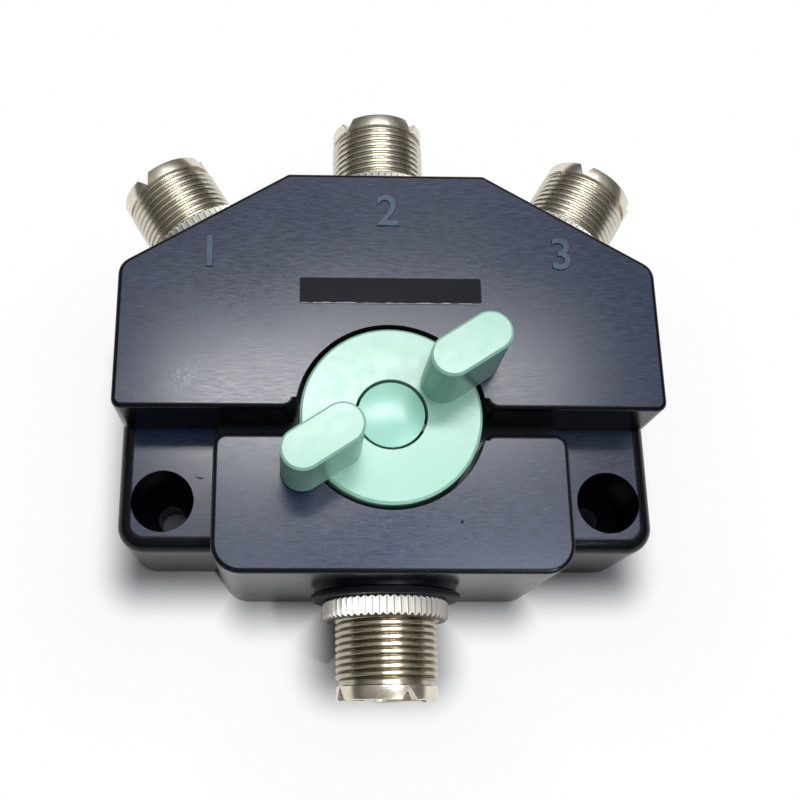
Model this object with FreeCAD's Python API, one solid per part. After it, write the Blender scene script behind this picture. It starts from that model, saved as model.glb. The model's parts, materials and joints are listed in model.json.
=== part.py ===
import FreeCAD, Part
import math
import os

from FreeCAD import Placement, Rotation, Vector

# Three-way coaxial antenna switch. Millimetres, +X to the right, +Y to the rear, +Z up.
# The origin lies on the mounting face, under the knob's axis.

# ---------------------------------------------------------------- driving dimensions

# Housing, seen from above
BODY_WIDTH = 84.0           # across the side walls
REAR_FLAT_WIDTH = 31.4      # rear face, between the two slanted shoulders
REAR_Y = 40.6               # rear face
SHOULDER_Y = 24.6           # where a side wall meets its shoulder
BLOCK_FRONT_Y = 1.0         # front wall of the high rear block
PAD_WIDTH = 53.0            # high front pad
PAD_REAR_Y = -2.85
PAD_FRONT_Y = -23.7
EAR_FRONT_Y = -18.6         # front wall of the two low ears

# Housing, heights
TOP_Z = 32.0                # machined tops of block and pad
VALLEY_Z = 23.0             # floor of the slot between block and pad
EAR_Z = 20.8                # tops of the ears
PORT_Z = 15.1               # axis of the four sockets

# Housing, corner and edge radii
SHOULDER_RADIUS = 3.0
REAR_RADIUS = 1.0
BLOCK_CORNER_RADIUS = 1.5
PAD_FRONT_RADIUS = 4.4
PAD_REAR_RADIUS = 2.0
EAR_RADIUS = 4.3
TOP_EDGE = 0.75             # rounding of the machined tops
EAR_EDGE = 2.3              # rounding of the ears' tops
BLOCK_MOUTH_RADIUS = 2.2    # where the slot opens into the knob recess
PAD_MOUTH_RADIUS = 1.5

# Housing, walls
WALL = 3.0
FLOOR_THICKNESS = 2.5       # casting under the knob recess
RECESS_WALL = 2.5
RECESS_FLOOR_Z = EAR_Z
CORE_RADIUS = 1.0           # inner corners of the casting
EAR_CORE_Y = -5.0           # the ears stay solid in front of this line
RIB_THICKNESS = 1.8
RIB_DEPTH = 5.0
RIB_ANGLES = (15.0, 75.0, 105.0, 165.0)

# Bottom cover and its screws
COVER_THICKNESS = 2.0
COVER_LEDGE = 1.4
COVER_GAP = 0.1
SCREW_THREAD_R = 1.5
SCREW_HEAD_R = 2.8
SCREW_LENGTH = 9.0
SCREW_HOLE_DEPTH = 11.0
SCREW_GAP = 0.05
SCREW_BOSS_R = 3.2
SCREW_INSET = 2.6           # boss axis from the casting's inner wall
SCREW_CORNER = 0.6          # extra inset of the two front screws
REAR_SCREW_INSET = 1.2      # rear screws from the ends of the rear face
DRIVE_LENGTH = 3.4          # cross recess in a screw head
DRIVE_WIDTH = 0.7
DRIVE_DEPTH = 1.0

# Screw wells in the ears
WELL_SPACING = 70.0
WELL_Y = -10.8
WELL_R = 4.9
WELL_SEAT_Z = 6.0
WELL_SEAT_SLOPE = 2.0       # height of the conical seat
WELL_HOLE_R = 2.3

# Knob
KNOB_REST_ANGLE = 33.0      # wings, from +X
KNOB_STEP = 57.0            # from one socket to the next
KNOB_R = 13.7
KNOB_RECESS_GAP = 0.8
KNOB_PROUD = 0.4            # disc above the machined tops
KNOB_PLATE = 3.0
KNOB_SKIRT = 1.8
KNOB_SKIRT_GAP = 0.6        # skirt above the recess floor
KNOB_EDGE = 0.4
HUB_R = 5.0
WING_HEIGHT = 12.2
WING_INNER_R = 6.1
WING_OUTER_R = 19.0
WING_WIDTH = 6.3
WING_DRAFT = 0.12           # growth of each side from top to foot
WING_EDGE = 0.35
WING_CLEARANCE = 0.5        # overhang above the machined tops
KNOB_RIB = 1.2
KNOB_RIB_ANGLES = (45.0, 135.0)
KNOB_RIB_Z = 25.0

# Knob cap and knob screw
CAP_R = 5.05
CAP_GROOVE = 0.45
CAP_DEPTH = 3.2
CAP_DOME = 0.35
CAP_WALL = 1.0
CAP_PROUD = 0.1             # top of the dome above the disc
KNOB_SCREW_HEAD_R = 2.75
KNOB_SCREW_HEAD = 1.8
KNOB_SCREW_LENGTH = 7.5
KNOB_SCREW_EDGE = 0.6
HUB_WEB = 1.8               # between the shaft's end and the cap's pocket

# Shaft, bush, washer, clip
SHAFT_R = 3.0
SHAFT_GAP = 0.03
SHAFT_FLAT = 2.3            # distance of the flats from the axis
BUSH_R = 4.4
BUSH_FLANGE_R = 4.8
BUSH_FLANGE = 0.8
BUSH_LENGTH = 6.0
WASHER_THICKNESS = 0.6
RUNNING_GAP = 0.05
CLIP_THICKNESS = 0.6
CLIP_GROOVE_R = 2.3
CLIP_R = 4.6
CLIP_OPENING = 3.9
CLIP_GAP = 0.2
CLIP_RELIEF = 1.8           # two small cuts that let the clip spring open
CLIP_RELIEF_ANGLES = (115.0, 245.0)

# Detent and stop
BALL_R = 1.5
BALL_ORBIT = 9.7
BALL_TUBE_R = 2.35
BALL_TUBE_GAP = 0.1
DIMPLE_DEPTH = 0.45
DIMPLE_R = 0.95
SPRING_WIRE = 0.4
SPRING_TURNS = 4.0
SPRING_WIRE_SIDES = 4       # a flat-sided section keeps the coil light
STOP_ANGLE = 90.0           # lug under the knob's hub, from the wings
STOP_HALF_ANGLE = 12.0
STOP_GAP = 0.15
STOP_R = 6.9
STOP_HEIGHT = 2.2
STOP_CLEARANCE = 0.4

# Rotor
ROTOR_HUB_R = 6.5
ROTOR_HUB_HEIGHT = 4.2
ROTOR_WEB = 1.0             # insulation between shaft and blade
BLADE_THICKNESS = 0.7
BLADE_WIDTH = 5.0
BLADE_REACH = 12.0          # from the axis to the contact point
BLADE_EYE_R = 6.2
RIVET_R = 0.8
RIVET_HEAD_R = 1.4
RIVET_HEAD = 0.35
RIVET_ORBIT = 4.7

# Contact strips
STRIP_THICKNESS = 0.5
STRIP_WIDTH = 4.0
STRIP_DROP = 0.8            # strip below the blade
STRIP_BEND = 0.5
STRIP_END_GAP = 0.4         # between the strip's end and the step of the tail
STRIP_OVERHANG = 0.8        # flat part that runs on past the tail
STRIP_SLOPE = 4.2
PIP_BASE_R = 1.4            # contact pip pressed up from the strip
PIP_TOP_R = 0.7

# Sockets: sizes along the socket's axis start at the housing's face
BOSS_R = 11.2
BOSS_HEIGHT = 1.0
SEAL_R = 11.7
SEAL_THICKNESS = 0.9
COLLAR_R = 9.8
COLLAR_LENGTH = 3.15
THREAD_R = 7.9375           # 5/8-24 UNEF
THREAD_LENGTH = 9.05
GROOVE_R = 7.35
GROOVE_LENGTH = 0.75
RIM_R = 7.85
RIM_LENGTH = 2.2
SPIGOT_R = 6.9
SPIGOT_LENGTH = 7.5
SPIGOT_GAP = 0.05
SHELL_BORE_R = 6.4
SPIGOT_BORE_R = 5.2
SHELL_STEP = 2.5            # bore step, from the collar's rear face
INNER_BOSS_R = 9.5
INNER_BOSS = 2.0
NOTCH_DEPTH = 1.8
NOTCH_WIDTH = 2.5
EDGE_BREAK = 0.3

# Insulator and centre contact
POST_R = 4.9
POST_SETBACK = 1.5          # post and contact behind the rim
FLANGE_LENGTH = 2.0
FIT_GAP = 0.05
CONTACT_R = 2.65
CONTACT_BORE_R = 2.0
CONTACT_BORE = 9.0
CONTACT_NECK_R = 1.6
SLOT_WIDTH = 0.5
SLOT_LENGTH = 6.0
TAIL_LENGTH = 5.0
TAIL_FLAT = 3.8

# Label plate behind the knob
LABEL_LENGTH = 28.2
LABEL_WIDTH = 4.3
LABEL_THICKNESS = 0.15
LABEL_X = 0.3
LABEL_Y = 20.1
LABEL_RADIUS = 0.3

# ---------------------------------------------------------------- derived places

HALF_WIDTH = BODY_WIDTH / 2
PAD_HALF = PAD_WIDTH / 2
REAR_HALF = REAR_FLAT_WIDTH / 2
RECESS_R = KNOB_R + KNOB_RECESS_GAP
CEILING_Z = RECESS_FLOOR_Z - FLOOR_THICKNESS
UPPER_CEILING_Z = TOP_Z - WALL
SHOULDER_ANGLE = math.degrees(math.atan2(REAR_Y - SHOULDER_Y, HALF_WIDTH - REAR_HALF))

KNOB_TOP_Z = TOP_Z + KNOB_PROUD
KNOB_PLATE_Z = KNOB_TOP_Z - KNOB_PLATE
BUSH_TOP_Z = RECESS_FLOOR_Z + BUSH_FLANGE
HUB_BOTTOM_Z = BUSH_TOP_Z + WASHER_THICKNESS + 2 * RUNNING_GAP
CAP_FLOOR_Z = KNOB_TOP_Z - CAP_DEPTH
SHAFT_TOP_Z = CAP_FLOOR_Z - HUB_WEB
BUSH_BOTTOM_Z = BUSH_TOP_Z - BUSH_LENGTH
CLIP_TOP_Z = BUSH_BOTTOM_Z - CLIP_GAP
ROTOR_TOP_Z = CLIP_TOP_Z - CLIP_THICKNESS - RIVET_HEAD - RUNNING_GAP
ROTOR_BOTTOM_Z = ROTOR_TOP_Z - ROTOR_HUB_HEIGHT
SHAFT_BOTTOM_Z = ROTOR_BOTTOM_Z + ROTOR_WEB
BLADE_BOTTOM_Z = ROTOR_BOTTOM_Z - BLADE_THICKNESS
STRIP_TOP_Z = BLADE_BOTTOM_Z - STRIP_DROP
BALL_Z = RECESS_FLOOR_Z + BALL_R + RUNNING_GAP
BALL_TUBE_Z = RECESS_FLOOR_Z + 0.5 * BALL_R
SPRING_TOP_Z = KNOB_PLATE_Z - 0.4

COLLAR_START = BOSS_HEIGHT + SEAL_THICKNESS
THREAD_START = COLLAR_START + COLLAR_LENGTH
GROOVE_START = THREAD_START + THREAD_LENGTH
RIM_START = GROOVE_START + GROOVE_LENGTH
RIM_END = RIM_START + RIM_LENGTH
SPIGOT_END = COLLAR_START - SPIGOT_LENGTH
BORE_STEP = COLLAR_START + SHELL_STEP
POST_END = RIM_END - POST_SETBACK
TAIL_END = SPIGOT_END - TAIL_LENGTH

# Each socket: name, the angle of its axis from +Y about the vertical (positive towards +X),
# the middle of its face, and the turn of its rim's notches.
SHOULDER_X = (HALF_WIDTH + REAR_HALF) / 2
SHOULDER_MID_Y = (REAR_Y + SHOULDER_Y) / 2
PORTS = (
    ("common", 180.0, Vector(0, PAD_FRONT_Y, PORT_Z), -21.0),
    ("line_1", -SHOULDER_ANGLE, Vector(-SHOULDER_X, SHOULDER_MID_Y, PORT_Z), -27.0),
    ("line_2", 0.0, Vector(0, REAR_Y, PORT_Z), 45.0),
    ("line_3", SHOULDER_ANGLE, Vector(SHOULDER_X, SHOULDER_MID_Y, PORT_Z), -17.0),
)
REST_ANGLES = {
    "line_3": KNOB_REST_ANGLE,
    "line_2": KNOB_REST_ANGLE + KNOB_STEP,
    "line_1": KNOB_REST_ANGLE + 2 * KNOB_STEP,
}
UP = Vector(0, 0, 1)


# ---------------------------------------------------------------- helpers

def polar(radius, degrees, z=0.0):
    angle = math.radians(degrees)
    return Vector(radius * math.cos(angle), radius * math.sin(angle), z)


def upright(point):
    """Turns a point of the XY plane into the XZ plane."""
    return Vector(point.x, 0, point.y)


def tube(outer, inner, z0, z1):
    """Ring or, with no inner radius, a cylinder about the vertical axis."""
    solid = Part.makeCylinder(outer, z1 - z0, Vector(0, 0, z0))
    if inner:
        solid = solid.cut(Part.makeCylinder(inner, z1 - z0 + 2, Vector(0, 0, z0 - 1)))
    return solid


def cylinder_at(x, y, radius, z0, z1):
    return Part.makeCylinder(radius, z1 - z0, Vector(x, y, z0))


def box(x0, x1, y0, y1, z0, z1):
    return Part.makeBox(x1 - x0, y1 - y0, z1 - z0, Vector(x0, y0, z0))


def revolve(profile):
    """Full turn of a closed (radius, height) profile about the vertical axis."""
    points = [Vector(r, 0, z) for r, z in profile]
    face = Part.Face(Part.makePolygon(points + [points[0]]))
    return face.revolve(Vector(0, 0, 0), UP, 360)


def outline(corners):
    """Closed wire through (x, y, radius) corners, each rounded by its radius."""
    count = len(corners)
    edges = []
    last = None
    first = None
    for i in range(count):
        before = Vector(*corners[i - 1][:2], 0)
        here = Vector(*corners[i][:2], 0)
        after = Vector(*corners[(i + 1) % count][:2], 0)
        radius = corners[i][2]
        to_before = (before - here).normalize()
        to_after = (after - here).normalize()
        if radius:
            half = to_before.getAngle(to_after) / 2
            reach = radius / math.tan(half)
            start = here + to_before * reach
            end = here + to_after * reach
            inward = (to_before + to_after).normalize()
            middle = here + inward * (radius / math.sin(half) - radius)
        else:
            start = end = here
        if last is not None and (start - last).Length > 1e-6:
            edges.append(Part.makeLine(last, start))
        if radius:
            edges.append(Part.Arc(start, middle, end).toShape())
        if first is None:
            first = start
        last = end
    if (first - last).Length > 1e-6:
        edges.append(Part.makeLine(last, first))
    return Part.Wire(edges)


def prism(wire, z0, z1):
    face = Part.Face(wire)
    face.translate(Vector(0, 0, z0))
    return face.extrude(Vector(0, 0, z1 - z0))


def inset(corners, distance, radius):
    """The same counter-clockwise outline with every side moved inwards."""
    count = len(corners)
    lines = []
    for i in range(count):
        a = Vector(*corners[i][:2], 0)
        b = Vector(*corners[(i + 1) % count][:2], 0)
        along = (b - a).normalize()
        lines.append((a + Vector(-along.y, along.x, 0) * distance, along))
    moved = []
    for i in range(count):
        (p, u), (q, w) = lines[i - 1], lines[i]
        step = ((q - p).x * w.y - (q - p).y * w.x) / (u.x * w.y - u.y * w.x)
        corner = p + u * step
        moved.append((corner.x, corner.y, radius))
    return moved


def top_edges(solid, z, skip=None):
    """Edges that lie in the plane at height z, without those that skip refuses."""
    found = []
    for edge in solid.Edges:
        box_ = edge.BoundBox
        if abs(box_.ZMin - z) < 1e-4 and abs(box_.ZMax - z) < 1e-4:
            if skip is None or not skip(edge.CenterOfMass):
                found.append(edge)
    return found


def obround(inner, outer, width, z):
    """Round-ended outline along +X, from inner to outer."""
    half = width / 2
    a, b = inner + half, outer - half
    edges = [
        Part.makeLine(Vector(a, -half, z), Vector(b, -half, z)),
        Part.Arc(Vector(b, -half, z), Vector(outer, 0, z), Vector(b, half, z)).toShape(),
        Part.makeLine(Vector(b, half, z), Vector(a, half, z)),
        Part.Arc(Vector(a, half, z), Vector(inner, 0, z), Vector(a, -half, z)).toShape(),
    ]
    return Part.Wire(edges)


def turned(shape, degrees):
    """A copy turned about the knob's axis."""
    result = shape.copy()
    result.rotate(Vector(0, 0, 0), UP, degrees)
    return result


def sector(inner, outer, z0, z1, start, end):
    """Part of a ring between two angles."""
    profile = [Vector(inner, 0, z0), Vector(outer, 0, z0), Vector(outer, 0, z1), Vector(inner, 0, z1)]
    face = Part.Face(Part.makePolygon(profile + [profile[0]]))
    return turned(face.revolve(Vector(0, 0, 0), UP, end - start), start)


def fuse_all(solids):
    result = solids[0].fuse(solids[1:]) if len(solids) > 1 else solids[0]
    return result.removeSplitter()


def at_port(shape, port):
    """Puts a shape modelled along +Z, from the housing's face, on a socket's axis."""
    _, angle, place, _ = port
    outward = Vector(math.sin(math.radians(angle)), math.cos(math.radians(angle)), 0)
    side = UP.cross(outward)
    result = shape.copy()
    result.Placement = Placement(place, Rotation(side, UP, outward, "ZXY"))
    return result


# ---------------------------------------------------------------- housing

def block_corners():
    return [
        (HALF_WIDTH, BLOCK_FRONT_Y, BLOCK_CORNER_RADIUS),
        (HALF_WIDTH, SHOULDER_Y, SHOULDER_RADIUS),
        (REAR_HALF, REAR_Y, REAR_RADIUS),
        (-REAR_HALF, REAR_Y, REAR_RADIUS),
        (-HALF_WIDTH, SHOULDER_Y, SHOULDER_RADIUS),
        (-HALF_WIDTH, BLOCK_FRONT_Y, BLOCK_CORNER_RADIUS),
    ]


def lower_corners():
    """Outline that the casting's core and the bottom cover follow; the ears stay outside it."""
    return [
        (-PAD_HALF, PAD_FRONT_Y, 0),
        (PAD_HALF, PAD_FRONT_Y, 0),
        (PAD_HALF, EAR_CORE_Y, 0),
        (HALF_WIDTH, EAR_CORE_Y, 0),
        (HALF_WIDTH, SHOULDER_Y, 0),
        (REAR_HALF, REAR_Y, 0),
        (-REAR_HALF, REAR_Y, 0),
        (-HALF_WIDTH, SHOULDER_Y, 0),
        (-HALF_WIDTH, EAR_CORE_Y, 0),
        (-PAD_HALF, EAR_CORE_Y, 0),
    ]


def mouth(y, radius):
    """Where a slot wall at height y rounds into the recess: tangent points and arc middle."""
    side = 1 if y > 0 else -1
    centre_y = y + side * radius
    centre_x = math.sqrt((RECESS_R + radius) ** 2 - centre_y ** 2)
    centre = Vector(centre_x, centre_y, 0)
    on_wall = Vector(centre_x, y, 0)
    on_recess = centre * (RECESS_R / (RECESS_R + radius))
    towards = ((on_wall + on_recess) * 0.5 - centre).normalize()
    return on_wall, centre + towards * radius, on_recess


def mirrored(point):
    return Vector(-point.x, point.y, point.z)


def high_part(corners, y, mouth_radius, z1):
    """Block or pad: its outline with the rounded mouth of the recess, top edge rounded."""
    on_wall, middle, on_recess = mouth(y, mouth_radius)
    plain = prism(outline(corners), 0, z1)
    # The bay between the two mouths is open, and its straight back keeps the rounding off it.
    bay = Part.Wire([
        Part.Arc(on_wall, middle, on_recess).toShape(),
        Part.makeLine(on_recess, mirrored(on_recess)),
        Part.Arc(mirrored(on_recess), mirrored(middle), mirrored(on_wall)).toShape(),
        Part.makeLine(mirrored(on_wall), on_wall),
    ])
    solid = plain.cut(prism(bay, 0, z1))
    bay_y = on_recess.y
    rounded = top_edges(solid, z1, lambda c: abs(c.x) < 1 and abs(c.y - bay_y) < 1e-3)
    return solid.makeFillet(TOP_EDGE, rounded)


def ears():
    rear = BLOCK_FRONT_Y + 2 * WALL
    corners = [
        (-HALF_WIDTH, EAR_FRONT_Y, EAR_RADIUS),
        (HALF_WIDTH, EAR_FRONT_Y, EAR_RADIUS),
        (HALF_WIDTH, rear, 0),
        (-HALF_WIDTH, rear, 0),
    ]
    solid = prism(outline(corners), 0, EAR_Z)
    rounded = top_edges(solid, EAR_Z, lambda c: abs(c.y - rear) < 1e-3)
    return solid.makeFillet(EAR_EDGE, rounded)


def pad_corners():
    return [
        (-PAD_HALF, PAD_FRONT_Y, PAD_FRONT_RADIUS),
        (PAD_HALF, PAD_FRONT_Y, PAD_FRONT_RADIUS),
        (PAD_HALF, PAD_REAR_Y, PAD_REAR_RADIUS),
        (-PAD_HALF, PAD_REAR_Y, PAD_REAR_RADIUS),
    ]


def housing_outside():
    block = high_part(block_corners(), BLOCK_FRONT_Y, BLOCK_MOUTH_RADIUS, TOP_Z)
    pad = high_part(pad_corners(), PAD_REAR_Y, PAD_MOUTH_RADIUS, TOP_Z)
    reach = 2 * WALL
    plinth = box(-PAD_HALF, PAD_HALF, PAD_REAR_Y - reach, BLOCK_FRONT_Y + reach, 0, VALLEY_Z)
    core = tube(RECESS_R + RECESS_WALL, None, 0, VALLEY_Z)
    boss = tube(BOSS_R, None, -WALL, BOSS_HEIGHT)
    boss = boss.makeChamfer(EDGE_BREAK, top_edges(boss, BOSS_HEIGHT))
    bosses = [at_port(boss, port) for port in PORTS]
    return fuse_all([block, pad, ears(), plinth, core] + bosses)


def screw_places():
    """Cover screws: two in front, two at the sides, two at the rear."""
    edge = WALL + SCREW_INSET
    corner = edge + SCREW_CORNER
    front = (PAD_HALF - corner, PAD_FRONT_Y + corner)
    side = (HALF_WIDTH - edge, SHOULDER_Y / 2)
    rear = (REAR_HALF - REAR_SCREW_INSET, REAR_Y - edge)
    return [Vector(sign * x, y, 0) for x, y in (front, side, rear) for sign in (-1, 1)]


def housing_core():
    """Everything that the casting leaves open inside, ribs and bosses taken off."""
    lower = prism(outline(inset(lower_corners(), WALL, CORE_RADIUS)), 0, CEILING_Z)
    block = prism(outline(inset(block_corners(), WALL, CORE_RADIUS)), CEILING_Z - 1, UPPER_CEILING_Z)
    pad = prism(outline(inset(pad_corners(), WALL, CORE_RADIUS)), CEILING_Z - 1, UPPER_CEILING_Z)
    cup = tube(RECESS_R + RECESS_WALL, None, CEILING_Z, TOP_Z)
    upper = block.fuse(pad).cut(cup)
    core = lower.fuse(upper)
    rib_top = UPPER_CEILING_Z + 1
    ribs = [
        turned(box(RECESS_R, BODY_WIDTH, -RIB_THICKNESS / 2, RIB_THICKNESS / 2,
                   UPPER_CEILING_Z - RIB_DEPTH, rib_top), angle)
        for angle in RIB_ANGLES
    ]
    bosses = [cylinder_at(p.x, p.y, SCREW_BOSS_R, 0, rib_top) for p in screw_places()]
    inner = tube(INNER_BOSS_R, None, -WALL - INNER_BOSS, 0)
    inner_bosses = [at_port(inner, port) for port in PORTS]
    return core.cut(ribs + bosses + inner_bosses)


def detent_dimples():
    """Six drilled dimples in the recess floor, two for each position of the knob."""
    z = RECESS_FLOOR_Z
    cone = revolve([(0, z - DIMPLE_DEPTH), (DIMPLE_R, z), (DIMPLE_R, z + 1), (0, z + 1)])
    dimples = []
    for angle in REST_ANGLES.values():
        for half_turn in (0, 180):
            copy = cone.copy()
            copy.translate(polar(BALL_ORBIT, angle + half_turn))
            dimples.append(copy)
    return dimples


def stop_rib():
    """Ring sector on the recess floor that leaves the lug just its travel."""
    gap = math.degrees(STOP_GAP / STOP_R)
    start = KNOB_REST_ANGLE + STOP_ANGLE + 2 * KNOB_STEP + STOP_HALF_ANGLE + gap
    end = KNOB_REST_ANGLE + STOP_ANGLE - STOP_HALF_ANGLE - gap + 360
    inner = BUSH_FLANGE_R + STOP_CLEARANCE
    return sector(inner, STOP_R, RECESS_FLOOR_Z - 0.5, RECESS_FLOOR_Z + STOP_HEIGHT, start, end)


def screw_well():
    """Stepped hole with a conical seat, through one ear."""
    return revolve([
        (0, -1), (WELL_HOLE_R, -1), (WELL_HOLE_R, WELL_SEAT_Z),
        (WELL_R, WELL_SEAT_Z + WELL_SEAT_SLOPE), (WELL_R, EAR_Z + 1), (0, EAR_Z + 1),
    ])


def housing():
    solid = housing_outside().cut(housing_core())
    ledge = inset(lower_corners(), WALL - COVER_LEDGE - COVER_GAP, CORE_RADIUS)
    cuts = [
        prism(outline(ledge), -1, COVER_THICKNESS),
        tube(RECESS_R, None, RECESS_FLOOR_Z, TOP_Z + 1),
        tube(BUSH_R, None, CEILING_Z - 1, RECESS_FLOOR_Z + 1),
    ]
    for side in (-1, 1):
        well = screw_well()
        well.translate(Vector(side * WELL_SPACING / 2, WELL_Y, 0))
        cuts.append(well)
    bore = tube(SPIGOT_R + SPIGOT_GAP, None, -2 * WALL - INNER_BOSS, BOSS_HEIGHT + 1)
    cuts += [at_port(bore, port) for port in PORTS]
    cuts += detent_dimples()
    for place in screw_places():
        top = COVER_THICKNESS + SCREW_HOLE_DEPTH
        cuts.append(cylinder_at(place.x, place.y, SCREW_THREAD_R + SCREW_GAP, -1, top))
    return fuse_all([solid.cut(cuts), stop_rib()])


# ---------------------------------------------------------------- bottom cover

def countersink(gap):
    """Screw head's cone, flush with the cover's outer face."""
    cone = SCREW_HEAD_R - SCREW_THREAD_R
    return revolve([
        (0, -gap), (SCREW_HEAD_R + gap, -gap), (SCREW_HEAD_R + gap, 0),
        (SCREW_THREAD_R + gap, cone), (0, cone),
    ])


def bottom_cover():
    edge = inset(lower_corners(), WALL - COVER_LEDGE, CORE_RADIUS)
    plate = prism(outline(edge), 0, COVER_THICKNESS)
    cuts = []
    for place in screw_places():
        hole = countersink(SCREW_GAP)
        hole.translate(place)
        cuts.append(hole)
        cuts.append(cylinder_at(place.x, place.y, SCREW_THREAD_R + SCREW_GAP, -1, COVER_THICKNESS + 1))
    return plate.cut(cuts)


def cross_recess(z0, z1):
    half, side = DRIVE_LENGTH / 2, DRIVE_WIDTH / 2
    return box(-half, half, -side, side, z0, z1).fuse(box(-side, side, -half, half, z0, z1))


def cover_screws():
    cone = SCREW_HEAD_R - SCREW_THREAD_R
    screw = revolve([
        (0, 0), (SCREW_HEAD_R, 0), (SCREW_THREAD_R, cone),
        (SCREW_THREAD_R, SCREW_LENGTH), (0, SCREW_LENGTH),
    ]).cut(cross_recess(-1, DRIVE_DEPTH))
    screws = []
    for place in screw_places():
        copy = screw.copy()
        copy.translate(place)
        screws.append(copy)
    return Part.makeCompound(screws)


# ---------------------------------------------------------------- knob and what turns with it

def wing():
    """One drafted, round-ended wing along +X with a bevelled top, standing on the disc."""
    top_z = KNOB_TOP_Z + WING_HEIGHT
    foot_z = TOP_Z

    def section(growth, z):
        return obround(WING_INNER_R - growth, WING_OUTER_R + growth, WING_WIDTH + 2 * growth, z)

    sections = [section(WING_DRAFT, foot_z), section(0, top_z - WING_EDGE), section(-WING_EDGE, top_z)]
    solid = Part.makeLoft(sections, True, True)
    under = tube(WING_OUTER_R + 2, KNOB_R, foot_z - 1, TOP_Z + WING_CLEARANCE)
    return solid.cut(under)


def d_bore(z0, z1):
    """Bore with a flat that carries the shaft's turn."""
    flat = SHAFT_FLAT + SHAFT_GAP
    reach = SHAFT_R + 1
    round_bore = tube(SHAFT_R + SHAFT_GAP, None, z0, z1)
    return round_bore.common(box(-reach, flat, -reach, reach, z0, z1))


def stop_lug():
    """Lug on the hub that runs between the two ends of the stop rib."""
    lug = sector(HUB_R - 1, STOP_R, RECESS_FLOOR_Z + STOP_CLEARANCE, KNOB_RIB_Z,
                 STOP_ANGLE - STOP_HALF_ANGLE, STOP_ANGLE + STOP_HALF_ANGLE)
    return lug.cut(tube(BUSH_FLANGE_R + STOP_CLEARANCE, None, RECESS_FLOOR_Z, HUB_BOTTOM_Z))


def knob():
    skirt_z = RECESS_FLOOR_Z + KNOB_SKIRT_GAP
    drum = tube(KNOB_R, None, skirt_z, KNOB_TOP_Z)
    drum = drum.makeChamfer(KNOB_EDGE, top_edges(drum, KNOB_TOP_Z))
    drum = drum.cut(tube(KNOB_R - KNOB_SKIRT, None, skirt_z - 1, KNOB_PLATE_Z))
    solids = [drum, tube(HUB_R, None, HUB_BOTTOM_Z, KNOB_TOP_Z - 1)]
    solids.append(stop_lug())
    for side in (0, 180):
        solids.append(turned(wing(), side))
        solids.append(turned(cylinder_at(BALL_ORBIT, 0, BALL_TUBE_R, BALL_TUBE_Z, KNOB_PLATE_Z + 1), side))
        for rib in KNOB_RIB_ANGLES:
            solids.append(turned(box(HUB_R - 1, KNOB_R - 1, -KNOB_RIB / 2, KNOB_RIB / 2,
                                     KNOB_RIB_Z, KNOB_PLATE_Z + 1), side + rib))
    solid = fuse_all(solids)
    cuts = [
        tube(CAP_R + CAP_GROOVE, None, CAP_FLOOR_Z, KNOB_TOP_Z + 1),
        tube(SCREW_THREAD_R + 2 * SCREW_GAP, None, SHAFT_TOP_Z - 1, CAP_FLOOR_Z + 1),
        d_bore(HUB_BOTTOM_Z - 1, SHAFT_TOP_Z + RUNNING_GAP),
    ]
    for side in (0, 180):
        cuts.append(turned(cylinder_at(BALL_ORBIT, 0, BALL_R + BALL_TUBE_GAP,
                                       BALL_TUBE_Z - 1, SPRING_TOP_Z), side))
    return turned(solid.cut(cuts), KNOB_REST_ANGLE)


def knob_cap():
    """Domed disc on a short ring that clears the screw's head."""
    rise = CAP_DOME
    dome_r = (CAP_R ** 2 + rise ** 2) / (2 * rise)
    edge_z = KNOB_TOP_Z + CAP_PROUD - rise
    body = tube(CAP_R, None, CAP_FLOOR_Z, edge_z)
    ball = Part.makeSphere(dome_r, Vector(0, 0, edge_z + rise - dome_r))
    dome = ball.common(tube(CAP_R, None, edge_z, edge_z + 2 * rise))
    hollow = tube(CAP_R - CAP_WALL, None, CAP_FLOOR_Z - 1, edge_z - CAP_WALL + 2 * CAP_PROUD)
    return fuse_all([body, dome]).cut(hollow)


def knob_screw():
    top = CAP_FLOOR_Z + KNOB_SCREW_HEAD
    head = tube(KNOB_SCREW_HEAD_R, None, CAP_FLOOR_Z, top)
    head = head.makeChamfer(KNOB_SCREW_EDGE, top_edges(head, top))
    shank = tube(SCREW_THREAD_R, None, CAP_FLOOR_Z - KNOB_SCREW_LENGTH, CAP_FLOOR_Z)
    return fuse_all([head, shank]).cut(cross_recess(top - DRIVE_DEPTH, top + 1))


def rotor_shaft():
    solid = tube(SHAFT_R, None, SHAFT_BOTTOM_Z, SHAFT_TOP_Z)
    reach = SHAFT_R + 1
    hole_z = CAP_FLOOR_Z - KNOB_SCREW_LENGTH - 1
    cuts = [
        box(SHAFT_FLAT, reach, -reach, reach, HUB_BOTTOM_Z, SHAFT_TOP_Z + 1),
        box(SHAFT_FLAT, reach, -reach, reach, SHAFT_BOTTOM_Z - 1, ROTOR_TOP_Z),
        tube(SHAFT_R + 1, CLIP_GROOVE_R, CLIP_TOP_Z - CLIP_THICKNESS - RUNNING_GAP,
             CLIP_TOP_Z + RUNNING_GAP),
        tube(SCREW_THREAD_R + SCREW_GAP, None, hole_z, SHAFT_TOP_Z + 1),
    ]
    return turned(solid.cut(cuts), KNOB_REST_ANGLE)


def thrust_washer():
    z0 = BUSH_TOP_Z + RUNNING_GAP
    return tube(BUSH_FLANGE_R, SHAFT_R + 2 * SHAFT_GAP, z0, z0 + WASHER_THICKNESS)


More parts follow.
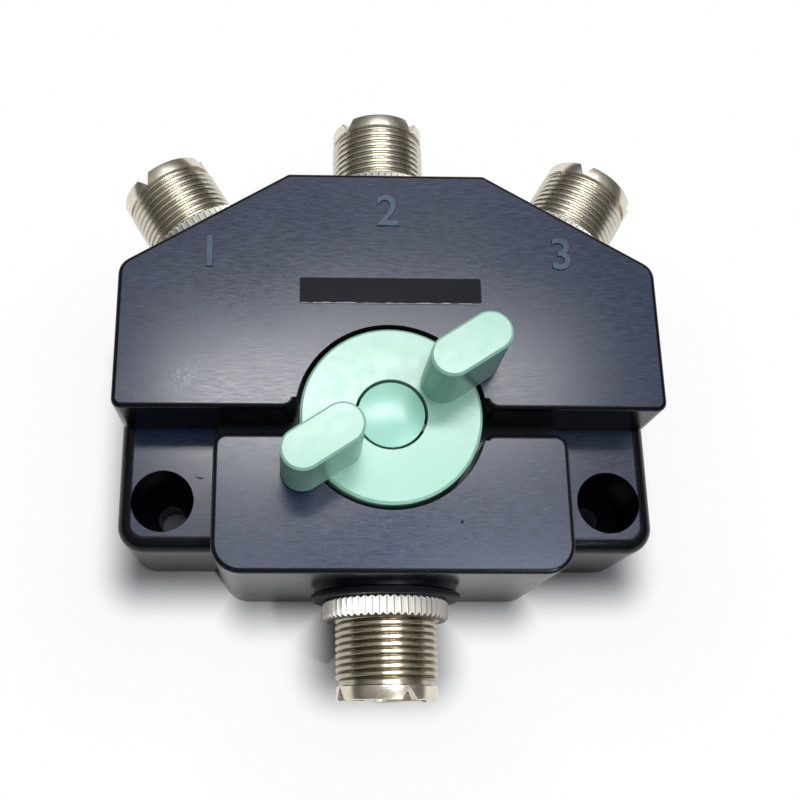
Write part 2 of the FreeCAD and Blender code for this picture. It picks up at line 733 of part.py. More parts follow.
def retaining_clip():
    """Open clip that sits in the shaft's groove, under the bush."""
    z0 = CLIP_TOP_Z - CLIP_THICKNESS
    ring = tube(CLIP_R, CLIP_GROOVE_R + SHAFT_GAP, z0, CLIP_TOP_Z)
    half = CLIP_OPENING / 2
    opening = box(0, CLIP_R + 1, -half, half, z0 - 1, CLIP_TOP_Z + 1)
    side = CLIP_RELIEF / 2
    relief = [turned(box(SHAFT_R, CLIP_R - side, -side, side, z0 - 1, CLIP_TOP_Z + 1), angle)
              for angle in CLIP_RELIEF_ANGLES]
    return turned(ring.cut([opening] + relief), KNOB_REST_ANGLE + 90)


def detent_balls():
    balls = [Part.makeSphere(BALL_R, polar(BALL_ORBIT, KNOB_REST_ANGLE + a, BALL_Z)) for a in (0, 180)]
    return Part.makeCompound(balls)


def detent_springs():
    """Two coils between the balls and the tops of their tubes."""
    mean_r = BALL_R - SPRING_WIRE
    seat = BALL_R + SPRING_WIRE / 2 + RUNNING_GAP
    low = BALL_Z + math.sqrt(seat ** 2 - mean_r ** 2)
    high = SPRING_TOP_Z - SPRING_WIRE / 2
    helix = Part.makeHelix((high - low) / SPRING_TURNS, high - low, mean_r)
    corners = [Vector(mean_r, 0, 0) + upright(polar(SPRING_WIRE / 2, 360 * i / SPRING_WIRE_SIDES))
               for i in range(SPRING_WIRE_SIDES)]
    section = Part.makePolygon(corners + [corners[0]])
    coil = Part.Wire(helix).makePipeShell([section], True, True)
    springs = []
    for angle in (0, 180):
        copy = coil.copy()
        copy.translate(polar(BALL_ORBIT, KNOB_REST_ANGLE + angle, low))
        springs.append(copy)
    return Part.makeCompound(springs)


def rotor_hub():
    solid = tube(ROTOR_HUB_R, None, ROTOR_BOTTOM_Z, ROTOR_TOP_Z)
    solid = solid.makeChamfer(KNOB_EDGE, top_edges(solid, ROTOR_TOP_Z))
    holes = [cylinder_at(x, 0, RIVET_R + RUNNING_GAP, ROTOR_BOTTOM_Z - 1, ROTOR_TOP_Z + 1)
             for x in (-RIVET_ORBIT, RIVET_ORBIT)]
    return turned(solid.cut(holes + [d_bore(SHAFT_BOTTOM_Z, ROTOR_TOP_Z + 1)]), KNOB_REST_ANGLE)


def rotor_blade():
    """Eye under the hub with one arm that reaches the line strips."""
    arm = obround(-BLADE_WIDTH / 2, BLADE_REACH + BLADE_WIDTH / 2, BLADE_WIDTH, 0)
    solid = fuse_all([tube(BLADE_EYE_R, None, BLADE_BOTTOM_Z, ROTOR_BOTTOM_Z),
                      prism(arm, BLADE_BOTTOM_Z, ROTOR_BOTTOM_Z)])
    holes = [cylinder_at(x, 0, RIVET_R + RUNNING_GAP, BLADE_BOTTOM_Z - 1, ROTOR_BOTTOM_Z + 1)
             for x in (-RIVET_ORBIT, RIVET_ORBIT)]
    return turned(solid.cut(holes), KNOB_REST_ANGLE)


def rotor_rivets():
    rivet = revolve([
        (0, BLADE_BOTTOM_Z - RIVET_HEAD), (RIVET_HEAD_R, BLADE_BOTTOM_Z - RIVET_HEAD),
        (RIVET_HEAD_R, BLADE_BOTTOM_Z), (RIVET_R, BLADE_BOTTOM_Z), (RIVET_R, ROTOR_TOP_Z),
        (RIVET_HEAD_R, ROTOR_TOP_Z), (RIVET_HEAD_R, ROTOR_TOP_Z + RIVET_HEAD),
        (0, ROTOR_TOP_Z + RIVET_HEAD),
    ])
    rivets = []
    for angle in (0, 180):
        copy = rivet.copy()
        copy.translate(polar(RIVET_ORBIT, KNOB_REST_ANGLE + angle))
        rivets.append(copy)
    return Part.makeCompound(rivets)


def shaft_bush():
    flange = tube(BUSH_FLANGE_R, SHAFT_R + SHAFT_GAP, RECESS_FLOOR_Z, BUSH_TOP_Z)
    body = tube(BUSH_R, SHAFT_R + SHAFT_GAP, BUSH_BOTTOM_Z, RECESS_FLOOR_Z)
    return fuse_all([flange, body])


# ---------------------------------------------------------------- sockets

def seal_washer():
    ring = tube(SEAL_R, SPIGOT_R + SPIGOT_GAP, BOSS_HEIGHT, COLLAR_START)
    outer = [e for e in top_edges(ring, COLLAR_START) if e.Length > 2 * math.pi * (SEAL_R - 1)]
    return ring.makeChamfer(EDGE_BREAK, outer)


def connector_shell(notch_turn):
    """Threaded barrel with a collar in front of the housing and a spigot in its wall."""
    body = revolve([
        (SPIGOT_BORE_R, SPIGOT_END), (SPIGOT_R, SPIGOT_END), (SPIGOT_R, COLLAR_START),
        (COLLAR_R, COLLAR_START), (COLLAR_R, THREAD_START - EDGE_BREAK),
        (COLLAR_R - EDGE_BREAK, THREAD_START), (THREAD_R, THREAD_START), (THREAD_R, GROOVE_START),
        (GROOVE_R, GROOVE_START), (GROOVE_R, RIM_START), (RIM_R, RIM_START),
        (RIM_R, RIM_END - EDGE_BREAK), (RIM_R - EDGE_BREAK, RIM_END), (SHELL_BORE_R, RIM_END),
        (SHELL_BORE_R, BORE_STEP), (SPIGOT_BORE_R, BORE_STEP),
    ])
    half = NOTCH_WIDTH / 2
    over = 0.5
    wide = half * (1 + over / NOTCH_DEPTH)
    triangle = [
        Vector(-wide, 0, RIM_END + over), Vector(0, 0, RIM_END - NOTCH_DEPTH),
        Vector(wide, 0, RIM_END + over),
    ]
    wedge = Part.Face(Part.makePolygon(triangle + [triangle[0]])).extrude(Vector(0, RIM_R + 1, 0))
    return body.cut([turned(wedge, notch_turn + 90 * i) for i in range(4)])


def insulator():
    """Stepped white core: flange against the shell's step, post in front, sleeve behind."""
    step = BORE_STEP + FIT_GAP
    flange_end = step + FLANGE_LENGTH
    bore = CONTACT_R + FIT_GAP
    neck = CONTACT_NECK_R + FIT_GAP
    bottom = POST_END - CONTACT_BORE - 1.0
    return revolve([
        (neck, SPIGOT_END), (SPIGOT_BORE_R - FIT_GAP, SPIGOT_END), (SPIGOT_BORE_R - FIT_GAP, step),
        (SHELL_BORE_R - FIT_GAP, step), (SHELL_BORE_R - FIT_GAP, flange_end), (POST_R, flange_end),
        (POST_R, POST_END - EDGE_BREAK), (POST_R - EDGE_BREAK, POST_END), (bore, POST_END),
        (bore, bottom - FIT_GAP), (neck, bottom - FIT_GAP),
    ])


def centre_contact():
    """Slotted sleeve with a thin neck and a flat tail for its strip."""
    bottom = POST_END - CONTACT_BORE
    sleeve = revolve([
        (0, bottom - 1.0), (CONTACT_R, bottom - 1.0), (CONTACT_R, POST_END - EDGE_BREAK),
        (CONTACT_R - EDGE_BREAK, POST_END), (CONTACT_BORE_R, POST_END),
        (CONTACT_BORE_R, bottom), (0, bottom - 0.8),
    ])
    neck = tube(CONTACT_NECK_R, None, TAIL_END, bottom - 1.0)
    solid = fuse_all([sleeve, neck])
    side = SLOT_WIDTH / 2
    slots = [turned(box(-side, side, 0, CONTACT_R + 1, POST_END - SLOT_LENGTH, POST_END + 1), a)
             for a in (45, 135, 225, 315)]
    # Socket-local +Y points up, so the tail's upper half is taken off for the strip.
    reach = CONTACT_NECK_R + 1
    flat = box(-reach, reach, 0, reach, TAIL_END - 1, TAIL_END + TAIL_FLAT)
    return solid.cut(slots + [flat])


def contact_strip(port, target):
    """Bent flat spring from a centre contact's tail down to a contact pip at the target."""
    _, angle, place, _ = port
    outward = Vector(math.sin(math.radians(angle)), math.cos(math.radians(angle)), 0)
    start = place + outward * (TAIL_END + TAIL_FLAT - STRIP_END_GAP)
    along = Vector(target.x - start.x, target.y - start.y, 0)
    length = along.Length
    t = STRIP_THICKNESS
    low = STRIP_TOP_Z - t
    landing = TAIL_FLAT - STRIP_END_GAP + STRIP_OVERHANG
    foot = landing + STRIP_SLOPE
    end = length + STRIP_WIDTH / 2
    profile = [
        Vector(0, 0, PORT_Z), Vector(landing, 0, PORT_Z), Vector(foot, 0, low), Vector(end, 0, low),
        Vector(end, 0, low + t), Vector(foot + 0.6 * t, 0, low + t),
        Vector(landing + 0.6 * t, 0, PORT_Z + t), Vector(0, 0, PORT_Z + t),
    ]
    face = Part.Face(Part.makePolygon(profile + [profile[0]]))
    face.translate(Vector(0, -STRIP_WIDTH / 2, 0))
    strip = face.extrude(Vector(0, STRIP_WIDTH, 0))
    bends = [e for e in strip.Edges if e.BoundBox.YLength > STRIP_WIDTH - 0.01
             and 0.1 < e.CenterOfMass.x < end - 0.1]
    strip = strip.makeFillet(STRIP_BEND, bends)
    plan = prism(obround(-STRIP_WIDTH, end, STRIP_WIDTH, 0), 0, TOP_Z)
    strip = strip.common(plan)
    height = BLADE_BOTTOM_Z - RUNNING_GAP - STRIP_TOP_Z
    pip = Part.makeCone(PIP_BASE_R, PIP_TOP_R, height, Vector(length, 0, STRIP_TOP_Z))
    solid = fuse_all([strip, pip])
    solid.rotate(Vector(0, 0, 0), UP, math.degrees(math.atan2(along.y, along.x)))
    solid.translate(Vector(start.x, start.y, 0))
    return solid


def label_plate():
    x0, x1 = LABEL_X - LABEL_LENGTH / 2, LABEL_X + LABEL_LENGTH / 2
    y0, y1 = LABEL_Y - LABEL_WIDTH / 2, LABEL_Y + LABEL_WIDTH / 2
    corners = [(x0, y0, LABEL_RADIUS), (x1, y0, LABEL_RADIUS), (x1, y1, LABEL_RADIUS), (x0, y1, LABEL_RADIUS)]
    return prism(outline(corners), TOP_Z, TOP_Z + LABEL_THICKNESS)


# ---------------------------------------------------------------- assembly

def all_parts():
    parts = {
        "housing": housing(),
        "bottom_cover": bottom_cover(),
        "cover_screws": cover_screws(),
        "label_plate": label_plate(),
        "knob": knob(),
        "knob_cap": knob_cap(),
        "knob_screw": knob_screw(),
        "rotor_shaft": rotor_shaft(),
        "shaft_bush": shaft_bush(),
        "thrust_washer": thrust_washer(),
        "retaining_clip": retaining_clip(),
        "detent_balls": detent_balls(),
        "detent_springs": detent_springs(),
        "rotor_hub": rotor_hub(),
        "rotor_blade": rotor_blade(),
        "rotor_rivets": rotor_rivets(),
    }
    for port in PORTS:
        name, notch_turn = port[0], port[3]
        parts[name + "_socket_shell"] = at_port(connector_shell(notch_turn), port)
        parts[name + "_seal_washer"] = at_port(seal_washer(), port)
        parts[name + "_socket_insulator"] = at_port(insulator(), port)
        parts[name + "_centre_contact"] = at_port(centre_contact(), port)
        if name in REST_ANGLES:
            target = polar(BLADE_REACH, REST_ANGLES[name])
        else:
            target = Vector(0, 0, 0)
        parts[name + "_contact_strip"] = contact_strip(port, target)
    return parts


def main():
    os.makedirs("parts", exist_ok=True)
    for name, shape in all_parts().items():
        shape.exportStep("parts/" + name + ".step")
        print("%-24s solids %d  valid %s  volume %.1f" % (name, len(shape.Solids), shape.isValid(), shape.Volume))


main()
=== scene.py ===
# %% [markdown]
# # A three-way coaxial antenna switch
# The CAD model already holds every solid at its real size: the die-cast housing, the mint knob, the
# four sockets and the switching parts inside. This lesson dresses it. Most solids stay as they are
# and get a finish. The sockets are made again, because their fine thread and knurl are left out of
# the solids.

import json
import math
from functools import reduce

import bmesh
import bpy
from mathutils import Matrix, Vector


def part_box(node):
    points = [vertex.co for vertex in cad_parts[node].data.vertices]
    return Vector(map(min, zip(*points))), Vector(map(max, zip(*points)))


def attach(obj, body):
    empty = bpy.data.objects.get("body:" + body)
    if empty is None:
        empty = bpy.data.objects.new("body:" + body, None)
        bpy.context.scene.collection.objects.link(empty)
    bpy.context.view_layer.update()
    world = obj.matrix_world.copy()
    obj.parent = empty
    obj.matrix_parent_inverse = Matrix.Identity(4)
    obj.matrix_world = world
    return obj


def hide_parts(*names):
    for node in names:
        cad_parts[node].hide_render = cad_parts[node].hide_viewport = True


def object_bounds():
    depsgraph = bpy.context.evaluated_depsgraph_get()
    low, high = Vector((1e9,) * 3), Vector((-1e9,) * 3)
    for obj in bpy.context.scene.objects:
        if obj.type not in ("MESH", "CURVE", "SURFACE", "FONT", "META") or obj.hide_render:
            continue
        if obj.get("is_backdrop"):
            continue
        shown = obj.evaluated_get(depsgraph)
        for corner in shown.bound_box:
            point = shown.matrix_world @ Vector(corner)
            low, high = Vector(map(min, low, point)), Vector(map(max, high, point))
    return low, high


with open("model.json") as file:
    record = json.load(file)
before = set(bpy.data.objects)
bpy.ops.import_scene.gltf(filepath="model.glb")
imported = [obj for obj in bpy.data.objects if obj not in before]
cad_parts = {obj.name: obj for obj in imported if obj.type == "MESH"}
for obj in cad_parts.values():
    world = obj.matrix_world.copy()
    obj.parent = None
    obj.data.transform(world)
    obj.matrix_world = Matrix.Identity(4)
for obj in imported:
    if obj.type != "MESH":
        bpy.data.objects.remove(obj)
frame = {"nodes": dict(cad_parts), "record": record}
cad_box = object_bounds()
print("nodes:", len(frame["nodes"]))
print("box in mm:", [tuple(round(value * 1000, 1) for value in corner) for corner in cad_box])

# %% [markdown]
# ## The camera
# The switch is seen from close above, a little from the front, so the top spreads out and the walls
# are cut short. A camera turn is easiest to read as three turns in a row: round the vertical, then
# tipped back from straight down, then rolled. The object sits right of the lens's axis, which a
# sideways shift of the frame gives without any change of perspective.

# %% Camera
MM = 0.001
PICTURE_SIDE = 800
SENSOR_WIDTH = 36.0


def put_in_scene(name, data):
    """A new object for a mesh, lamp or camera, linked to the scene."""
    item = bpy.data.objects.new(name, data)
    bpy.context.scene.collection.objects.link(item)
    return item


FOCAL_PIXELS = 1053.99
CENTRE_PIXELS = (326.0, 415.0)
CAMERA_PLACE = Vector((-14.103, -46.636, 182.248)) * MM
YAW, TIP, ROLL = -0.09295, 0.30172, 0.09520

lens = bpy.data.cameras.new("camera")
lens.sensor_width = SENSOR_WIDTH
lens.lens = SENSOR_WIDTH * FOCAL_PIXELS / PICTURE_SIDE
lens.shift_x = (PICTURE_SIDE / 2 - CENTRE_PIXELS[0]) / PICTURE_SIDE
lens.shift_y = (CENTRE_PIXELS[1] - PICTURE_SIDE / 2) / PICTURE_SIDE
lens.clip_start = 0.005
turn = Matrix.Rotation(YAW, 4, "Z") @ Matrix.Rotation(TIP, 4, "X") @ Matrix.Rotation(ROLL, 4, "Z")
camera = put_in_scene("camera", lens)
camera.matrix_world = Matrix.Translation(CAMERA_PLACE) @ turn
bpy.context.scene.camera = camera
print("lens %.1f mm, shift %.3f %.3f" % (lens.lens, lens.shift_x, lens.shift_y))

# %% [markdown]
# ## Nodes by the handful
# A material is a small graph of nodes. Writing each link by hand hides the idea behind the wiring,
# so one helper adds a node and takes its inputs as a dictionary: a plain value is set, and another
# node's output is linked.

# %% Helpers for materials
def rgb(red, green, blue):
    """A screen colour, 0 to 255, as the linear colour that a shader works with."""
    linear = []
    for channel in (red / 255, green / 255, blue / 255):
        linear.append(channel / 12.92 if channel <= 0.04045 else ((channel + 0.055) / 1.055) ** 2.4)
    return (*linear, 1.0)


def add(tree, kind, inputs=None, **settings):
    """One node. An input that is another node's output is linked, and anything else is set."""
    node = tree.nodes.new(kind)
    for key, value in settings.items():
        setattr(node, key, value)
    for key, value in (inputs or {}).items():
        if isinstance(value, bpy.types.NodeSocket):
            tree.links.new(value, node.inputs[key])
        else:
            node.inputs[key].default_value = value
    return node


def new_finish(name, colour, roughness, metallic=0.0, **others):
    """A material whose even properties sit on the shader itself."""
    material = bpy.data.materials.new(name)
    material.use_nodes = True
    shader = material.node_tree.nodes["Principled BSDF"]
    values = {"Base Color": colour, "Roughness": roughness, "Metallic": metallic}
    for key, value in {**values, **others}.items():
        shader.inputs[key].default_value = value
    return material


def drive(material, socket, value):
    """Links a pattern to one input of the shader."""
    shader = material.node_tree.nodes["Principled BSDF"]
    material.node_tree.links.new(value, shader.inputs[socket])


print("material helpers ready")

# %% [markdown]
# Every pattern starts from a place. Object coordinates are the piece's own metres, so a scale of
# 2000 gives grains of about half a millimetre, on any piece, whatever its size. Stretching one axis
# turns round grains into brushed lines.

# %% Patterns
def grain(tree, scale, detail=2.0, source=None):
    """Noise from 0 to 1; scale is one number, or three to stretch it."""
    if isinstance(scale, (int, float)):
        scale = (scale, scale, scale)
    place = source or add(tree, "ShaderNodeTexCoord").outputs["Object"]
    sized = add(tree, "ShaderNodeMapping", {"Vector": place, "Scale": scale}).outputs[0]
    inputs = {"Vector": sized, "Scale": 1.0, "Detail": detail}
    return add(tree, "ShaderNodeTexNoise", inputs).outputs[0]


def spread(tree, value, low, high, start=0.3, end=0.7):
    """Maps the part of a pattern between start and end to low and high."""
    inputs = {"Value": value, "From Min": start, "From Max": end, "To Min": low, "To Max": high}
    return add(tree, "ShaderNodeMapRange", inputs).outputs[0]


def blend(tree, factor, first, second):
    """Mixes two colours by a pattern."""
    mix = add(tree, "ShaderNodeMix", data_type="RGBA")
    for index, value in ((0, factor), (6, first), (7, second)):
        if isinstance(value, bpy.types.NodeSocket):
            tree.links.new(value, mix.inputs[index])
        else:
            mix.inputs[index].default_value = value
    return mix.outputs[2]


def maths(tree, operation, first, second=0.0):
    """One sum; each side is a number or another node's output."""
    node = add(tree, "ShaderNodeMath", operation=operation)
    for index, value in ((0, first), (1, second)):
        if isinstance(value, bpy.types.NodeSocket):
            tree.links.new(value, node.inputs[index])
        else:
            node.inputs[index].default_value = value
    return node.outputs[0]


def relief(tree, height, depth):
    """A bump whose full height is depth metres."""
    inputs = {"Height": height, "Distance": depth, "Strength": 1.0}
    return add(tree, "ShaderNodeBump", inputs).outputs[0]


def axis(tree, letter, source=None):
    """One of the three coordinates of a place."""
    place = source or add(tree, "ShaderNodeTexCoord").outputs["Object"]
    return add(tree, "ShaderNodeSeparateXYZ", {"Vector": place}).outputs[letter]


print("pattern helpers ready")

# %% [markdown]
# ## Marks of use
# A used switch has a few marks: a dusty rub near one corner of the top, a pit and a scratch.
# Painting them by hand would need an image, so each is an ellipse, found by a Mapping node that
# turns and sizes the place until the ellipse is a unit circle.

# %% Marks
MARKS = {
    "rub": ((-31.4, 5.8), (5.0, 2.8), 45.0),
    "pit": ((10.0, -16.2), (0.4, 0.3), 20.0),
    "scratch": ((-29.3, -7.1), (0.8, 0.16), -12.0),
}


def mark(tree, name, soft):
    """1 inside a mark's ellipse, fading out over the part of it that soft gives."""
    (x, y), (long_half, short_half), turn = MARKS[name]
    place = add(tree, "ShaderNodeTexCoord").outputs["Object"]
    settled = add(tree, "ShaderNodeMapping", {
        "Vector": place, "Location": (x * MM, y * MM, 0), "Rotation": (0, 0, math.radians(turn)),
        "Scale": (long_half * MM, short_half * MM, 1.0)}, vector_type="TEXTURE").outputs[0]
    away = add(tree, "ShaderNodeVectorMath", {0: settled}, operation="LENGTH").outputs["Value"]
    return spread(tree, away, 1.0, 0.0, 1.0 - soft, 1.0)


print("marks:", ", ".join(MARKS))

# %% [markdown]
# ## The two paints of the housing
# The casting is painted a deep blue-black all over. The flat tops of the block and the pad were brushed
# before the paint went on, so short fine lines run from side to side and the light smears across them.
# The faces that look up are given a lighter, bluer base than the walls and rounded edges, though it is
# one paint: the difference is painted light on the tops and painted shade on the walls. The walls and
# rounded edges are glossy and smooth, with the faint orange peel of sprayed paint. Both carry a few
# specks of dust, and only in places, as dust settles.

# %% Brushed and glossy paint
def scattered(tree, specks, strength, size, rare, share):
    """Specks up to a strength, only where a second and coarser pattern lets them show."""
    shown = spread(tree, rare, 0.0, 1.0, *share)
    return maths(tree, "MULTIPLY", spread(tree, specks, 0.0, strength, *size), shown)


def brushed_lit_paint():
    # Painted light: the base is lighter and bluer than the walls' paint, though the casting has one paint.
    material = new_finish("brushed_lit_paint", rgb(11, 28, 54), 0.24, **{"Specular IOR Level": 0.35})
    tree = material.node_tree
    mottle = grain(tree, 2600, 2.0)
    lines = grain(tree, (560, 4600, 900), 2.0)
    cloud = grain(tree, (38, 30, 30), 2.0)
    rare = grain(tree, 90, 1.0)
    specks = grain(tree, 1900, 1.0)
    base = blend(tree, spread(tree, lines, 0.0, 1.0), rgb(8, 20, 43), rgb(17, 36, 68))
    base = blend(tree, spread(tree, mottle, 0.0, 0.35, 0.5, 0.8), base, rgb(40, 50, 76))
    dots = scattered(tree, specks, 0.16, (0.74, 0.78), rare, (0.52, 0.64))
    dust = spread(tree, grain(tree, 2300, 2.0), 0.0, 0.5, 0.46, 0.62)
    rub = maths(tree, "MULTIPLY", mark(tree, "rub", 0.8), dust)
    base = blend(tree, maths(tree, "MAXIMUM", dots, rub), base, rgb(110, 118, 134))
    dark = maths(tree, "MAXIMUM", mark(tree, "pit", 0.4), mark(tree, "scratch", 0.5))
    drive(material, "Base Color", blend(tree, dark, base, rgb(4, 6, 10)))
    rough = maths(tree, "ADD", spread(tree, lines, 0.17, 0.24), spread(tree, cloud, 0.0, 0.045))
    drive(material, "Roughness", maths(tree, "ADD", rough, maths(tree, "MULTIPLY", dark, 0.5)))
    height = maths(tree, "ADD", maths(tree, "MULTIPLY", mottle, 0.6), lines)
    drive(material, "Normal", relief(tree, height, 0.0000022))
    return material


def gloss_shaded_paint():
    # Painted shade: the base is near black, darker than the tops' paint, though the casting has one paint.
    material = new_finish("gloss_shaded_paint", rgb(6, 10, 16), 0.26, **{"Specular IOR Level": 0.2})
    tree = material.node_tree
    peel = grain(tree, 900, 1.0)
    cloud = grain(tree, 70, 3.0)
    rare = grain(tree, 110, 1.0)
    dust = grain(tree, 3000, 1.0)
    base = blend(tree, spread(tree, cloud, 0.0, 1.0), rgb(5, 8, 13), rgb(7, 11, 18))
    dots = scattered(tree, dust, 0.4, (0.72, 0.76), rare, (0.5, 0.6))
    drive(material, "Base Color", blend(tree, dots, base, rgb(84, 90, 102)))
    drive(material, "Roughness", spread(tree, cloud, 0.2, 0.3))
    drive(material, "Normal", relief(tree, peel, 0.0000025))
    return material


lit_top_paint = brushed_lit_paint()
shaded_wall_paint = gloss_shaded_paint()
print("paints:", lit_top_paint.name, shaded_wall_paint.name)

# %% [markdown]
# ## A skin for the housing and the knob
# A imported solid is a bag of loose triangles, so a round edge would show as flat strips. Its mesh
# is left as it is, and a copy is worked on: the copy's corners are merged, flat areas are joined,
# sharp edges are marked, and weighted normals let the large flat faces stay flat while small ones
# carry the curve.

# %% Skins
SWITCH, KNOB = "switch_body", "knob_body"
MERGE_DISTANCE = 0.0005 * MM
FLAT_ANGLE = math.radians(0.1)
CAST_EDGE, MOULDED_EDGE, TURNED_EDGE = 35, 40, 32
UPRIGHT, LEVEL = 0.01, 0.999


def place_piece(name, mesh, materials, body, node):
    """Puts a finished mesh in the scene, on its body, in place of its CAD node."""
    piece = put_in_scene(name, mesh)
    for material in materials:
        mesh.materials.append(material)
    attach(piece, body)
    if node:
        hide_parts(node)
    return piece


def smooth_by_angle(bm, degrees):
    """Smooth faces, with the edges steeper than the angle kept sharp."""
    for face in bm.faces:
        face.smooth = True
    for edge in bm.edges:
        edge.smooth = not edge.is_manifold or edge.calc_face_angle(0.0) < math.radians(degrees)


def skin(node, name, materials, body, degrees, pick=None, flat_within=0.0):
    """A copy of a CAD node that is shaded as the smooth object it stands for."""
    bm = bmesh.new()
    bm.from_mesh(frame["nodes"][node].data)
    bmesh.ops.remove_doubles(bm, verts=bm.verts, dist=MERGE_DISTANCE)
    bmesh.ops.dissolve_limit(bm, angle_limit=FLAT_ANGLE, verts=bm.verts, edges=bm.edges)
    smooth_by_angle(bm, degrees)
    for face in bm.faces:
        face.material_index = pick(face) if pick else 0
        if abs(face.normal.z) < UPRIGHT and face.calc_center_median().xy.length < flat_within:
            face.smooth = False
    mesh = bpy.data.meshes.new(name)
    bm.to_mesh(mesh)
    bm.free()
    piece = place_piece(name, mesh, materials, body, node)
    weighted = piece.modifiers.new("weighted_normals", "WEIGHTED_NORMAL")
    weighted.keep_sharp = True
    print(name, "faces:", len(mesh.polygons))


print("skin helpers ready, edges stay sharp above", CAST_EDGE, "degrees on a casting")

# %% [markdown]
# The brush lines and the lighter base go on the faces that look straight up at the height of the block
# and the pad, or at that of the ears, so one test on each face chooses between the two paints. The
# lighter base is painted light. The upright walls of the knob's recess are cut, not cast, and are left flat.

# %% Housing
RECESS_REACH = 14.6 * MM
EAR_HEIGHT = 20.8 * MM
top_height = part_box("housing")[1].z


def on_brushed_and_lit_top(face):
    """1 for the flat tops of the block, the pad and the ears, and 0 for all other faces."""
    middle = face.calc_center_median()
    near = 0.01 * MM
    on_ear = abs(middle.z - EAR_HEIGHT) < near and middle.xy.length > RECESS_REACH
    return 1 if face.normal.z > LEVEL and (on_ear or middle.z > top_height - near) else 0


# Faces that look up get the lighter paint (painted light), all others the darker one (painted shade).
skin("housing", "housing_skin", [shaded_wall_paint, lit_top_paint], SWITCH, CAST_EDGE,
     pick=on_brushed_and_lit_top, flat_within=RECESS_REACH)

# %% [markdown]
# ## Mint plastic
# The knob is moulded in pale mint polystyrene. A little light goes into such plastic and comes out
# again nearby, which softens its shadows. Moulded faces are never quite even, so a very low, broad
# bump breaks up the reflections.

# %% Knob and its cap
def moulded_plastic(name, colour, shade, roughness):
    material = new_finish(name, colour, roughness, **{
        "Subsurface Weight": 0.1, "Subsurface Scale": 0.001, "Specular IOR Level": 0.4})
    tree = material.node_tree
    cloud = grain(tree, 110, 2.0)
    fine = grain(tree, 600, 2.0)
    specks = grain(tree, 2600, 1.0)
    base = blend(tree, spread(tree, cloud, 0.0, 1.0), colour, shade)
    base = blend(tree, spread(tree, specks, 0.0, 0.12, 0.75, 0.8), base, rgb(95, 140, 118))
    drive(material, "Base Color", base)
    drive(material, "Roughness", spread(tree, fine, roughness - 0.02, roughness + 0.04))
    drive(material, "Normal", relief(tree, grain(tree, 260, 1.0), 0.000004))
    return material


mint = moulded_plastic("mint_plastic", rgb(144, 190, 172), rgb(140, 187, 168), 0.23)
cap_mint = moulded_plastic("cap_plastic", rgb(140, 195, 178), rgb(136, 192, 174), 0.22)
skin("knob", "knob_skin", [mint], KNOB, MOULDED_EDGE)
skin("knob_cap", "cap_skin", [cap_mint], KNOB, MOULDED_EDGE)

# %% [markdown]
# ## Sizes of a socket shell
# Each shell is turned from brass bar: a spigot that sits in the housing, a knurled collar, a thread
# and a plain rim. Its heights are measured from the housing's face and its radii from its axis, in
# millimetres. The finish needs them as well as the shapes, so they come first.

# %% Socket sizes
SPIGOT_END, COLLAR_START, THREAD_START, THREAD_END = -5.6, 1.9, 5.05, 14.1
RIM_START, RIM_END = 14.85, 17.05
ROOT_R, CREST_R, RIM_R, MOUTH_R, SPIGOT_R, BACK_BORE_R = 7.29, 7.9375, 7.85, 6.4, 6.9, 5.2
COLLAR_R, TOOTH_DEPTH, COLLAR_BORE_R = 9.8, 0.48, 7.0
TOOTH_ROOT_R = COLLAR_R - TOOTH_DEPTH
END_BEVEL = 0.45
print("shell length in mm:", RIM_END - SPIGOT_END)

# %% [markdown]
# ## Nickel
# The shells are nickel plated. Turning leaves rings round the axis, so the pattern has to follow
# each socket and not the world. While a socket still lies along Z, every vertex stores its place in
# an attribute, and the material reads that. The thread has gone dull, and its roots are painted
# darker, partly grime and partly painted shade, which the height and the distance from the axis find.
# The front socket's thread is painted darkest, a painted dark reflection. The collar is the whitest
# part: it is mixed with a pale matt finish, a painted highlight for the light its teeth scatter, and
# the roots and the cut ends of its teeth are painted shade.

# %% Nickel plating
def bright_metal(tree, radius, along, cloud):
    """Colour of the plating, with painted shade on the thread and a painted highlight on the collar, and how
    much of it is the knurled collar.
    """
    base = blend(tree, spread(tree, cloud, 0.0, 1.0), rgb(229, 224, 209), rgb(214, 207, 190))
    outside = spread(tree, radius, 0.0, 1.0, ROOT_R - 0.29, ROOT_R - 0.24)
    front = maths(tree, "LESS_THAN", axis(tree, "Y"), 0.0)
    # Painted shade, partly grime: the thread's roots are darker, and more so on the front socket.
    grime_and_shade = maths(tree, "MULTIPLY", spread(tree, radius, 0.8, 0.0, ROOT_R - 0.01, ROOT_R + 0.33),
                  spread(tree, cloud, 0.6, 1.0))
    grime_and_shade = maths(tree, "MULTIPLY", grime_and_shade, spread(tree, front, 0.5, 1.0, 0.0, 1.0))
    base = blend(tree, maths(tree, "MULTIPLY", grime_and_shade, outside), base, rgb(134, 126, 108))
    past_start = spread(tree, along, 0.0, 1.0, THREAD_START - 0.15, THREAD_START + 0.15)
    before_end = spread(tree, along, 1.0, 0.0, THREAD_END, RIM_START + 0.05)
    dull = maths(tree, "MULTIPLY", past_start, before_end)
    # The front socket's thread is painted darker, a painted dark reflection; the rest of the thread is dull
    # tarnish.
    dull_and_front_shade = blend(tree, front, rgb(208, 203, 189), rgb(178, 170, 151))
    base = blend(tree, maths(tree, "MULTIPLY", dull, outside), base, dull_and_front_shade)
    # Painted highlight: the collar is a pale matt white, standing in for the light its teeth scatter.
    knurled = spread(tree, radius, 0.0, 1.0, RIM_R + 0.25, RIM_R + 0.55)
    return blend(tree, knurled, base, rgb(248, 245, 236)), knurled


